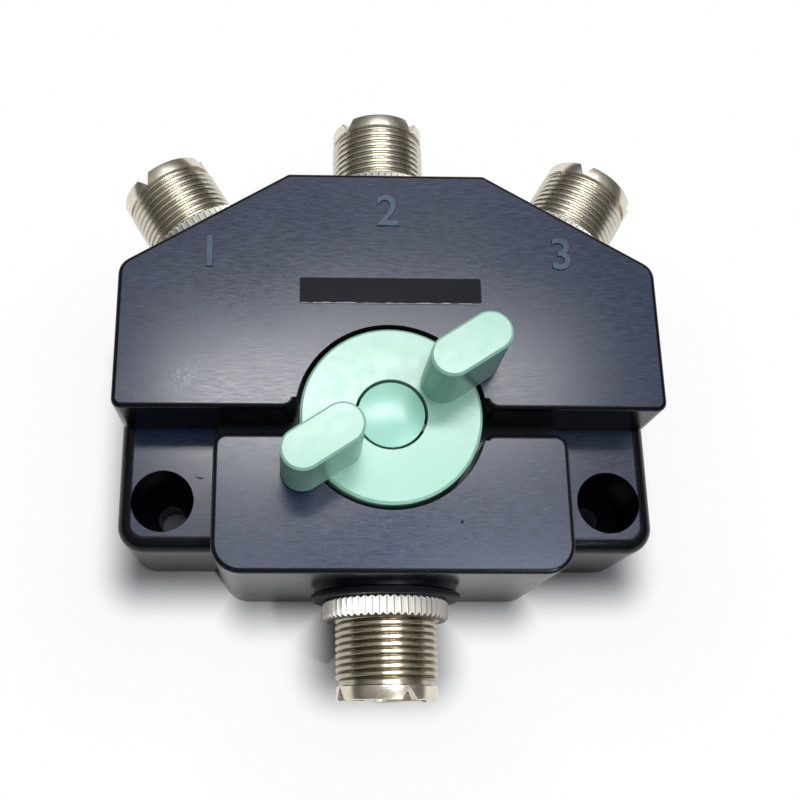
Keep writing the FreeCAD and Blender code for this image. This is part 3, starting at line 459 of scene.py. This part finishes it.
def tooth_shade(tree, radius, along):
    """Painted shade: 1 in the roots of the collar's teeth and on the cones that cut their ends."""
    root = spread(tree, radius, 0.8, 0.0, TOOTH_ROOT_R + 0.01, TOOTH_ROOT_R + 0.14)
    from_end = maths(tree, "MINIMUM", maths(tree, "SUBTRACT", along, COLLAR_START),
                     maths(tree, "SUBTRACT", THREAD_START, along))
    height = spread(tree, radius, 0.0, 1.0, TOOTH_ROOT_R, COLLAR_R)
    cone = maths(tree, "SUBTRACT", height, maths(tree, "DIVIDE", from_end, END_BEVEL))
    return maths(tree, "MAXIMUM", root, maths(tree, "GREATER_THAN", cone, -0.08))


def nickel_plate():
    material = new_finish("nickel_plate", rgb(224, 218, 202), 0.26, 1.0)
    tree = material.node_tree
    turned = add(tree, "ShaderNodeAttribute", attribute_name="turned").outputs["Vector"]
    flat = add(tree, "ShaderNodeVectorMath", {0: turned, 1: (1.0, 1.0, 0.0)},
               operation="MULTIPLY").outputs[0]
    radius = add(tree, "ShaderNodeVectorMath", {0: flat}, operation="LENGTH").outputs["Value"]
    along = axis(tree, "Z", turned)
    rings = grain(tree, (0.15, 0.15, 16.0), 2.0, turned)
    cloud = grain(tree, (0.35, 0.35, 0.35), 3.0, turned)
    base, knurled = bright_metal(tree, radius, along, cloud)
    # Painted shade in the roots and at the cut ends of the collar's teeth.
    shade = maths(tree, "MULTIPLY", knurled, tooth_shade(tree, radius, along))
    drive(material, "Base Color", blend(tree, shade, base, rgb(70, 64, 52)))
    polish = maths(tree, "ADD", spread(tree, rings, 0.08, 0.15), spread(tree, cloud, 0.0, 0.06))
    past_collar = spread(tree, along, 0.0, 0.1, THREAD_START, THREAD_START + 0.1)
    polish = maths(tree, "ADD", polish, past_collar)
    drive(material, "Roughness", maths(tree, "ADD", polish, maths(tree, "MULTIPLY", knurled, 0.25)))
    # Where the collar is painted pale it is less metallic, part of the painted highlight.
    drive(material, "Metallic", spread(tree, knurled, 1.0, 0.45, 0.0, 1.0))
    drive(material, "Normal", relief(tree, rings, 0.0000035))
    return material


nickel = nickel_plate()
print("made", nickel.name)

# %% [markdown]
# ## The socket shell: barrel
# A turned part is a profile spun round its axis. The barrel's profile runs down the inside, round
# the back and up the outside to the rim. Four notches for the plug's locking teeth are pressed into
# the rim: with 80 steps round, the vertices at a notch and its neighbours are simply moved down.

# %% Barrel
STEPS_ROUND = 80
NOTCH_DEPTH, NOTCH_REACH = 1.8, 0.4
BORE_STEP = 4.4


def spun(bm, profile, steps):
    """A closed profile of (radius, height) points, turned once round Z."""
    verts = [bm.verts.new((radius, 0, height)) for radius, height in profile]
    edges = [bm.edges.new((verts[i - 1], verts[i])) for i in range(len(verts))]
    bmesh.ops.spin(bm, geom=verts + edges, cent=(0, 0, 0), axis=(0, 0, 1), angle=2 * math.pi,
                   steps=steps, use_merge=True)


def barrel(bm, notch_turn):
    profile = [
        (BACK_BORE_R, SPIGOT_END), (SPIGOT_R - 0.2, SPIGOT_END), (SPIGOT_R, SPIGOT_END + 0.2),
        (SPIGOT_R, COLLAR_START + 0.5), (ROOT_R, COLLAR_START + 0.5), (ROOT_R, THREAD_END),
        (ROOT_R + 0.06, RIM_START - 0.35), (ROOT_R + 0.06, RIM_START), (RIM_R - 0.12, RIM_START),
        (RIM_R, RIM_START + 0.15), (RIM_R, RIM_END - 0.25), (RIM_R - 0.08, RIM_END - 0.08),
        (RIM_R - 0.25, RIM_END), (MOUTH_R + 0.2, RIM_END), (MOUTH_R, RIM_END - 0.2),
        (MOUTH_R, BORE_STEP), (BACK_BORE_R, BORE_STEP),
    ]
    spun(bm, profile, STEPS_ROUND)
    for vert in bm.verts:
        if vert.co.z > RIM_END - NOTCH_REACH:
            angle = math.degrees(math.atan2(vert.co.y, vert.co.x))
            step = abs((angle + 45) % 90 - 45) / (360 / STEPS_ROUND)
            vert.co.z -= NOTCH_DEPTH * max(0.0, 1 - step / 2)
    bmesh.ops.rotate(bm, verts=bm.verts, cent=(0, 0, 0),
                     matrix=Matrix.Rotation(math.radians(90 + notch_turn), 3, "Z"))


print("barrel: %d profile steps round" % STEPS_ROUND)

# %% [markdown]
# ## The socket shell: thread
# The plug's ring screws on to a 5/8 inch thread with 24 turns to the inch. Its ridges are broad and
# flat with a narrow groove between them. Spin can also climb while it turns, which draws a helix.
# The ridge's section is spun for one turn more than needed, cut flat at both ends with a plane, and
# its open ends are filled, so it is a closed solid that sinks into the barrel.

# %% Thread
PITCH = 25.4 / 24
STEPS_PER_TURN = 48
RIDGE_SINK = 0.25


def thread(bm):
    half = PITCH / 2
    rising = [(ROOT_R - RIDGE_SINK, 1.02), (ROOT_R + 0.1, 0.95),
              (CREST_R - 0.05, 0.5), (CREST_R, 0.37)]
    section = [(radius, -half * share) for radius, share in rising]
    section += [(radius, half * share) for radius, share in reversed(rising)]
    turns = (THREAD_END - THREAD_START) / PITCH + 1
    steps = round(turns * STEPS_PER_TURN)
    start = THREAD_START - half
    verts = [bm.verts.new((radius, 0, start + height)) for radius, height in section]
    edges = [bm.edges.new((verts[i - 1], verts[i])) for i in range(len(verts))]
    bmesh.ops.spin(bm, geom=verts + edges, cent=(0, 0, 0), axis=(0, 0, 1),
                   dvec=(0, 0, PITCH / STEPS_PER_TURN), angle=2 * math.pi * steps / STEPS_PER_TURN,
                   steps=steps)
    for height, keep_above in ((THREAD_START, True), (THREAD_END, False)):
        geom = bm.verts[:] + bm.edges[:] + bm.faces[:]
        bmesh.ops.bisect_plane(bm, geom=geom, dist=0.0001, plane_co=(0, 0, height),
                               plane_no=(0, 0, 1), clear_inner=keep_above,
                               clear_outer=not keep_above)
    bmesh.ops.holes_fill(bm, edges=[edge for edge in bm.edges if edge.is_boundary])


print("thread pitch %.4f mm" % PITCH)

# %% [markdown]
# ## The socket shell: knurled collar
# The collar is rolled with straight teeth that fingers can grip, and both its ends are cut with a
# cone, which gives each tooth a point. A ring with twice as many vertices as teeth is extruded
# three times along the axis. Every second vertex is moved out for the long middle step and stays in
# at both ends. The end faces are twisted quads, so they are split along the longer diagonal, which
# is where the cone meets the tooth.

# %% Collar
TEETH = 54


def raise_crests(verts, radius):
    """Moves every second vertex of the outer ring to a radius."""
    for vert in verts:
        step = round(math.atan2(vert.co.y, vert.co.x) / (math.pi / TEETH))
        if step % 2 and vert.co.xy.length > COLLAR_BORE_R + 0.5:
            vert.co.xy *= radius / vert.co.xy.length


def collar(bm):
    for radius in (TOOTH_ROOT_R, COLLAR_BORE_R):
        bmesh.ops.create_circle(bm, cap_ends=False, radius=radius, segments=2 * TEETH)
    bmesh.ops.bridge_loops(bm, edges=bm.edges[:])
    layer = bm.faces[:]
    length = THREAD_START - COLLAR_START
    steps = [(END_BEVEL, COLLAR_R), (length - 2 * END_BEVEL, COLLAR_R), (END_BEVEL, TOOTH_ROOT_R)]
    for rise, crest in steps:
        first = layer[0].calc_center_median().z == 0
        grown = bmesh.ops.extrude_face_region(bm, geom=layer, use_keep_orig=first)
        layer = [item for item in grown["geom"] if isinstance(item, bmesh.types.BMFace)]
        moved = [item for item in grown["geom"] if isinstance(item, bmesh.types.BMVert)]
        bmesh.ops.translate(bm, verts=moved, vec=(0, 0, rise))
        raise_crests(moved, crest)
    ends = [face for face in bm.faces if face.calc_center_median().xy.length > TOOTH_ROOT_R - 0.3
            and abs(face.calc_center_median().z - length / 2) > length / 2 - END_BEVEL]
    bmesh.ops.triangulate(bm, faces=ends, quad_method="LONG_EDGE")
    bmesh.ops.translate(bm, verts=bm.verts, vec=(0, 0, COLLAR_START))
    bmesh.ops.recalc_face_normals(bm, faces=bm.faces)


print("collar teeth:", TEETH)

# %% [markdown]
# ## Four sockets, each on its own axis
# The record names the mount of each thread, with a point on its axis and the direction out of the
# housing. The thread's point lies in the middle of the threaded length, so the housing's face is
# that far back. Each island is built apart, its normals are made to face outwards, and all three
# are joined in one mesh before it is moved to its place.

# %% Build the sockets
THREAD_MIDDLE = (THREAD_START + THREAD_END) / 2
NOTCH_TURNS = {"common": -21.0, "line_1": -27.0, "line_2": 45.0, "line_3": -17.0}


def socket_place(name):
    """Matrix from a socket's own millimetres to its place on the housing."""
    mount = next(m for m in frame["record"]["mounts"] if m["name"] == name + "_socket_thread")
    outward = Vector(mount["axis"])
    face = Vector(mount["pos_m"]) - outward * THREAD_MIDDLE * MM
    side = Vector((0, 0, 1)).cross(outward)
    turn = Matrix((side, (0, 0, 1), outward)).transposed().to_4x4()
    return Matrix.Translation(face) @ turn @ Matrix.Scale(MM, 4)


def socket_shell(name):
    whole = bpy.data.meshes.new(name + "_shell")
    joined = bmesh.new()
    for build in (lambda bm: barrel(bm, NOTCH_TURNS[name]), thread, collar):
        island = bmesh.new()
        build(island)
        bmesh.ops.remove_doubles(island, verts=island.verts, dist=0.0005)
        bmesh.ops.recalc_face_normals(island, faces=island.faces)
        part = bpy.data.meshes.new("island")
        island.to_mesh(part)
        island.free()
        joined.from_mesh(part)
        bpy.data.meshes.remove(part)
    turned = joined.verts.layers.float_vector.new("turned")
    for vert in joined.verts:
        vert[turned] = vert.co
    joined.transform(socket_place(name))
    smooth_by_angle(joined, TURNED_EDGE)
    joined.to_mesh(whole)
    joined.free()
    return place_piece(name + "_shell", whole, [nickel], SWITCH, name + "_socket_shell")


for name in NOTCH_TURNS:
    shell = socket_shell(name)
    print(shell.name, "faces:", len(shell.data.polygons))

# %% [markdown]
# ## Raised numbers
# A plain number stands beside each line socket, cast proud of the top and brushed with it. Its
# paint is worn paler than the top, because a hand rubs over it at every turn of the knob.

# %% Paint of the numbers
def raised_paint():
    material = new_finish("raised_paint", rgb(42, 62, 84), 0.38, **{"Specular IOR Level": 0.3})
    tree = material.node_tree
    lines = grain(tree, (130, 5200, 200), 2.0)
    worn = grain(tree, 1100, 3.0)
    base = blend(tree, spread(tree, worn, 0.0, 1.0), rgb(36, 54, 76), rgb(52, 74, 96))
    drive(material, "Base Color", base)
    drive(material, "Roughness", spread(tree, lines, 0.32, 0.44))
    drive(material, "Normal", relief(tree, lines, 0.000003))
    return material


raised = raised_paint()
print("made", raised.name)

# %% [markdown]
# Text is the quick way to a numeral's outline. Its size is the height of a whole line, of which a
# numeral takes about 0.72. It is turned into a mesh at once, the upper edges are beveled, and only
# then is it moved to its place, with its foot sunk a hair into the top so that no gap shows.

# %% Numbers
NUMBER_HEIGHT, NUMBER_RISE, NUMBER_BEVEL = 5.4, 0.26, 0.07
CAPITAL_SHARE, STROKE_GAIN, BITE = 0.72, 0.14, 0.02
NUMBER_PLACES = {"1": (-27.9, 26.4), "2": (0.1, 33.7), "3": (27.4, 26.4)}


def raised_number(digit, place, material):
    curve = bpy.data.curves.new("digit_" + digit, "FONT")
    curve.body = digit
    curve.align_x = curve.align_y = "CENTER"
    curve.size = NUMBER_HEIGHT / CAPITAL_SHARE
    curve.offset = STROKE_GAIN
    curve.extrude = NUMBER_RISE / 2
    curve.resolution_u = 8
    text = bpy.data.objects.new("digit_" + digit, curve)
    mesh = bpy.data.meshes.new_from_object(text)
    bpy.data.objects.remove(text)
    mesh.name = "number_" + digit
    bm = bmesh.new()
    bm.from_mesh(mesh)
    bmesh.ops.remove_doubles(bm, verts=bm.verts, dist=0.001)
    bmesh.ops.recalc_face_normals(bm, faces=bm.faces)
    high = [edge for edge in bm.edges if all(vert.co.z > 0 for vert in edge.verts)
            and edge.calc_face_angle(0.0) > 1.0]
    bmesh.ops.bevel(bm, geom=high, offset=NUMBER_BEVEL, offset_type="OFFSET", affect="EDGES",
                    segments=1, profile=0.5, material=-1)
    height = top_height + (NUMBER_RISE / 2 - BITE) * MM
    seat = Matrix.Translation((place[0] * MM, place[1] * MM, height))
    bm.transform(seat @ Matrix.Scale(MM, 4))
    bm.to_mesh(mesh)
    bm.free()
    mesh.materials.clear()
    return place_piece("number_" + digit, mesh, [material], SWITCH, None)


for digit, place in NUMBER_PLACES.items():
    number = raised_number(digit, place, raised)
    print(number.name, "size in mm:", [round(v * 1000, 2) for v in number.dimensions])

# %% [markdown]
# ## Finishes of the parts that stay as solids
# The label, washers, insulators, contacts, bottom cover and the switching parts keep their CAD
# meshes. A finish goes into the object's own material slot, so the mesh isn't touched.

# %% Plain metals, rubber, insulation
def clouded(material, light, dark, roughness, cloud, fine, depth):
    """Broad clouds in the colour, and finer ones in the roughness and the relief."""
    tree = material.node_tree
    drive(material, "Base Color", blend(tree, spread(tree, cloud, 0.0, 1.0), light, dark))
    drive(material, "Roughness", spread(tree, fine, roughness - 0.06, roughness + 0.08))
    drive(material, "Normal", relief(tree, fine, depth))
    return material


def metal(name, light, dark, roughness, scale):
    material = new_finish(name, light, roughness, 1.0)
    cloud = grain(material.node_tree, scale, 3.0)
    fine = grain(material.node_tree, scale * 9, 2.0)
    return clouded(material, light, dark, roughness, cloud, fine, 0.0000015)


def matt(name, light, dark, roughness, scale, depth, **others):
    material = new_finish(name, light, roughness, **others)
    cloud = grain(material.node_tree, scale, 2.0)
    fine = grain(material.node_tree, scale * 8, 2.0)
    return clouded(material, light, dark, roughness, cloud, fine, depth)


steel = metal("steel_plated", rgb(176, 178, 182), rgb(150, 152, 158), 0.28, 300)
brass = metal("brass_turned", rgb(206, 172, 104), rgb(176, 142, 80), 0.26, 300)
silver = metal("silvered_contact", rgb(222, 216, 200), rgb(196, 186, 166), 0.24, 420)
bronze = metal("bronze_strip", rgb(198, 138, 92), rgb(170, 112, 72), 0.3, 300)
rubber = matt("washer_rubber", rgb(9, 10, 13), rgb(15, 16, 20), 0.5, 260, 0.000004, **{
    "Specular IOR Level": 0.08})
insulation = matt("insulation", rgb(232, 226, 212), rgb(218, 210, 194), 0.46, 260, 0.000003, **{
    "Subsurface Weight": 0.1, "Subsurface Scale": 0.001})
cover_paint = matt("cover_paint", rgb(30, 32, 38), rgb(42, 44, 52), 0.48, 180, 0.000008)
print("finishes:", len(bpy.data.materials))

# %% [markdown]
# The label plate is bare dark film. Where it was cut, a bright ragged line shows along its front
# side. The distance from that side is known for every point, so the line needs no shape of its own.

# %% Label film
def label_film():
    material = new_finish("label_film", rgb(16, 18, 28), 0.5, **{"Specular IOR Level": 0.05})
    tree = material.node_tree
    low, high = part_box("label_plate")
    from_edge = maths(tree, "SUBTRACT", axis(tree, "Y"), low.y)
    ragged = spread(tree, grain(tree, (900, 300, 300), 3.0), 0.04 * MM, 0.24 * MM)
    edge = maths(tree, "LESS_THAN", from_edge, ragged)
    cloud = grain(tree, 220, 3.0)
    film = blend(tree, spread(tree, cloud, 0.0, 1.0), rgb(9, 11, 20), rgb(15, 17, 28))
    drive(material, "Base Color", blend(tree, edge, film, rgb(150, 152, 160)))
    drive(material, "Roughness", spread(tree, cloud, 0.26, 0.4))
    drive(material, "Normal", relief(tree, grain(tree, 1600, 2.0), 0.000003))
    return material


label = label_film()
print("made", label.name)

# %% [markdown]
# Each node gets its finish by the end of its name. A node that no rule names would stop the script,
# so none is left in its packed colour.

# %% Dress the CAD nodes
FINISH_OF = {
    "label_plate": label, "bottom_cover": cover_paint, "cover_screws": steel, "knob_screw": steel,
    "rotor_shaft": steel, "shaft_bush": brass, "thrust_washer": steel, "retaining_clip": steel,
    "detent_balls": steel, "detent_springs": steel, "rotor_hub": insulation, "rotor_blade": silver,
    "rotor_rivets": brass, "seal_washer": rubber, "socket_insulator": insulation,
    "centre_contact": silver, "contact_strip": bronze, "socket_shell": nickel,
    "housing": shaded_wall_paint, "knob": mint, "knob_cap": cap_mint,
}


def finish_for(node):
    """The finish whose name ends the node's name."""
    ending = max((key for key in FINISH_OF if node.endswith(key)), key=len)
    return FINISH_OF[ending]


for node, item in frame["nodes"].items():
    if not item.material_slots:
        item.data.materials.append(None)
    for material_slot in item.material_slots:
        material_slot.link = "OBJECT"
        material_slot.material = finish_for(node)
print("dressed", len(frame["nodes"]), "nodes")

# %% [markdown]
# ## Floor
# The switch stands on a white sheet that shows the same white as the background. A sheet that only
# glows would lose the shadow, and a sheet that is only lit would need more light than the switch
# should have. So it is both: a grey paper that takes light and shadow, and a white glow that takes
# over with distance from the switch's outline. Close to the walls the glow gives way to the grey
# paper, which is a painted shadow set by distance from the outline, and the real shadow falls on it
# as well. The outline is three rectangles round the origin, and the nearest one counts.

# %% Floor material
def bright_rays(tree):
    """1 for a ray that shows the background: from the camera, off gloss or through glass."""
    path = add(tree, "ShaderNodeLightPath").outputs
    mirrored = maths(tree, "MAXIMUM", path["Is Glossy Ray"], path["Is Transmission Ray"])
    return maths(tree, "MAXIMUM", path["Is Camera Ray"], mirrored)


FOOTPRINT = [(40.5, 18.6), (21.0, 22.5), (7.0, 35.0)]
CONTACT_SHADOW = 0.0095
PAPER, WHITE = (0.24, 0.24, 0.25, 1), (1, 1, 1, 1)


def beyond(tree, half_x, half_y):
    """Distance on the floor from a rectangle round the origin."""
    squares = []
    for letter, half in (("X", half_x), ("Y", half_y)):
        reach = maths(tree, "ABSOLUTE", axis(tree, letter))
        over = maths(tree, "MAXIMUM", maths(tree, "SUBTRACT", reach, half))
        squares.append(maths(tree, "MULTIPLY", over, over))
    return maths(tree, "SQRT", maths(tree, "ADD", *squares))


def stage_material(name):
    """A material for the studio, with its output still bare."""
    material = bpy.data.materials.new(name)
    material.use_nodes = True
    tree = material.node_tree
    tree.nodes.remove(tree.nodes["Principled BSDF"])
    return material, tree, tree.nodes["Material Output"].inputs["Surface"]


def white_sheet():
    material, tree, surface = stage_material("white_sheet")
    paper = add(tree, "ShaderNodeBsdfDiffuse", {"Color": PAPER}).outputs[0]
    glow = add(tree, "ShaderNodeEmission", {"Color": WHITE, "Strength": 1.0}).outputs[0]
    away = reduce(lambda first, second: maths(tree, "MINIMUM", first, second),
                  [beyond(tree, half_x * MM, half_y * MM) for half_x, half_y in FOOTPRINT])
    # Painted shadow: near the outline the glow gives way to the grey paper, by distance and not by light.
    near = add(tree, "ShaderNodeMapRange", {"Value": away, "From Max": CONTACT_SHADOW},
               interpolation_type="SMOOTHSTEP").outputs[0]
    share = maths(tree, "MULTIPLY", near, spread(tree, away, 0.92, 1.0, 0.006, 0.03))
    share = maths(tree, "MULTIPLY", share, bright_rays(tree))
    mixed = add(tree, "ShaderNodeMixShader", {0: share, 1: paper, 2: glow}).outputs[0]
    tree.links.new(mixed, surface)
    return material


sheet = white_sheet()
print("made", sheet.name)

# %% [markdown]
# One large face is enough for the sheet. It lies a hair below the switch's base, so that the two
# faces never share a height, and it is marked as part of the stage.

# %% Floor sheet
SHEET_HALF, SHEET_DROP = 3.0, 0.00004

bm = bmesh.new()
bmesh.ops.create_grid(bm, x_segments=1, y_segments=1, size=SHEET_HALF)
bmesh.ops.translate(bm, verts=bm.verts, vec=(0, 0, -SHEET_DROP))
sheet_mesh = bpy.data.meshes.new("floor_sheet")
bm.to_mesh(sheet_mesh)
bm.free()
sheet_mesh.materials.append(sheet)
floor_sheet = put_in_scene("floor_sheet", sheet_mesh)
floor_sheet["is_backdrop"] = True
print("floor at z", floor_sheet.data.vertices[0].co.z)

# %% [markdown]
# ## World
# The world is white to the camera and in reflections. For all other rays it is a soft sky: bright
# overhead, dim at the horizon, so upright walls stay darker than flat tops.

# %% World
AMBIENT_SIDE, AMBIENT_TOP = 0.03, 0.86

world = bpy.data.worlds.new("room")
bpy.context.scene.world = world
world.use_nodes = True
room = world.node_tree
background = room.nodes["Background"]
upward = axis(room, "Z", add(room, "ShaderNodeTexCoord").outputs["Generated"])
soft = spread(room, maths(room, "MULTIPLY", upward, upward), AMBIENT_SIDE, AMBIENT_TOP, 0.0, 1.0)
room.links.new(blend(room, bright_rays(room), soft, WHITE), background.inputs["Color"])
background.inputs["Strength"].default_value = 1.0
print("world:", world.name)

# %% [markdown]
# ## Grey cloth round the table
# Polished metal looks flat in an all-white room. With dark cloth hung round the table, each turned
# part shows a dark side and a bright band. The cloth's shade is fixed and needs no light: it is
# darkest at the foot, and broad folds vary it.

# %% Cloth material
CLOTH_COLOUR, CLOTH_LOW_TONE, CLOTH_HIGH_TONE = (1, 0.97, 0.9, 1), 0.14, 0.5

cloth, tree, surface = stage_material("grey_cloth")
tone = spread(tree, axis(tree, "Z"), CLOTH_LOW_TONE, CLOTH_HIGH_TONE, 0.4, 0.8)
folds = spread(tree, grain(tree, (6, 6, 1), 2.0), 0.75, 1.25)
strength = maths(tree, "MULTIPLY", tone, folds)
shade = add(tree, "ShaderNodeEmission", {"Color": CLOTH_COLOUR, "Strength": strength}).outputs[0]
tree.links.new(shade, surface)
print("made", cloth.name)

# %% [markdown]
# The cloth is a ring, spun from a profile of three points, that only reflections see. Its upper hem
# leans to the rear, so the sky's opening stands over the rear sockets.

# %% Hang the cloth
CLOTH_PROFILE = [(0.9, 0.02), (0.9, 0.45), (0.45, 0.8)]
CLOTH_LEAN = (0.03, 0.52, 0)
CLOTH_STEPS = 48

bm = bmesh.new()
edge = [bm.verts.new((radius, 0, height)) for radius, height in CLOTH_PROFILE]
sides = [bm.edges.new(pair) for pair in zip(edge, edge[1:])]
bmesh.ops.spin(bm, geom=edge + sides, cent=(0, 0, 0), axis=(0, 0, 1), angle=2 * math.pi,
               steps=CLOTH_STEPS, use_merge=True)
top_hem = [vert for vert in bm.verts if vert.co.z > CLOTH_PROFILE[1][1] + 0.1]
bmesh.ops.translate(bm, verts=top_hem, vec=CLOTH_LEAN)
cloth_mesh = bpy.data.meshes.new("grey_cloth")
bm.to_mesh(cloth_mesh)
bm.free()
cloth_mesh.materials.append(cloth)
grey_cloth = put_in_scene("grey_cloth", cloth_mesh)
for ray in ("camera", "diffuse", "shadow", "transmission"):
    setattr(grey_cloth, "visible_" + ray, False)
grey_cloth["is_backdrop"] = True
print("cloth faces:", len(cloth_mesh.polygons))

# %% [markdown]
# ## Lights
# The softboxes hang in one plane and look straight down, because a flat glossy top shows each of
# them as a patch of light: the place of a patch on the top gives the place of its lamp by the
# mirror rule. Two behind the switch light the tops round the knob, and a small one between them
# shows only in the knob's disc. One at the right and a weak one at the left light the front pad
# with a bluer light, and a far one draws the bright bands on the rear sockets. A narrow spot
# reaches the front collar, which stands in the shadow of the front wall.

# %% Softboxes and the spot
def aim(name, light, place, target):
    """Hangs a lamp at a place, with its face to the target."""
    lamp = put_in_scene(name, light)
    lamp.location = place
    lamp.rotation_euler = (Vector(target) - Vector(place)).to_track_quat("-Z", "Y").to_euler()
    return lamp


def softbox(name, place, width, depth, power, colour):
    light = bpy.data.lights.new(name, "AREA")
    light.shape = "RECTANGLE"
    light.size, light.size_y = width, depth
    light.energy = power
    light.color = colour
    aim(name, light, place, (place[0], place[1], 0)).visible_camera = False


LAMP_HEIGHT = 0.6
LAMP_WHITE, DAYLIGHT = (1, 1, 1), (0.84, 0.9, 1.0)
for name, x, y, width, depth, power, colour in (
    ("rear_softbox_left", -0.04, 0.185, 0.13, 0.07, 0.86, LAMP_WHITE),
    ("rear_softbox_knob", 0.035, 0.215, 0.07, 0.05, 0.2, LAMP_WHITE),
    ("rear_softbox_right", 0.105, 0.195, 0.14, 0.07, 0.68, LAMP_WHITE),
    ("right_softbox", 0.17, 0.01, 0.2, 0.11, 0.9, DAYLIGHT),
    ("far_softbox", 0.07, 0.46, 0.46, 0.08, 0.46, LAMP_WHITE),
    ("left_softbox", -0.055, 0.03, 0.12, 0.08, 0.2, DAYLIGHT),
):
    softbox(name, (x, y, LAMP_HEIGHT), width, depth, power, colour)

beam = bpy.data.lights.new("front_socket_spot", "SPOT")
beam.energy, beam.shadow_soft_size = 5.5, 0.015
beam.spot_size, beam.spot_blend = math.radians(8), 0.5
SPOT_PLACE, COLLAR_PLACE = (0.16, -0.26, 0.3), (0, -0.029, 0.018)
aim("front_socket_spot", beam, SPOT_PLACE, COLLAR_PLACE)

# %% [markdown]
# ## Last steps
# The view transform is Standard, so a colour comes out as it was written. The size of the dressed
# model is printed beside that of the solids.

# %% Finish
bpy.context.scene.view_settings.view_transform = "Standard"
boxes = {"cad": [list(corner) for corner in cad_box], "visual": [list(corner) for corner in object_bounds()]}
for whose, box in boxes.items():
    print(whose, "box in mm:", [[round(value * 1000, 2) for value in corner] for corner in box])
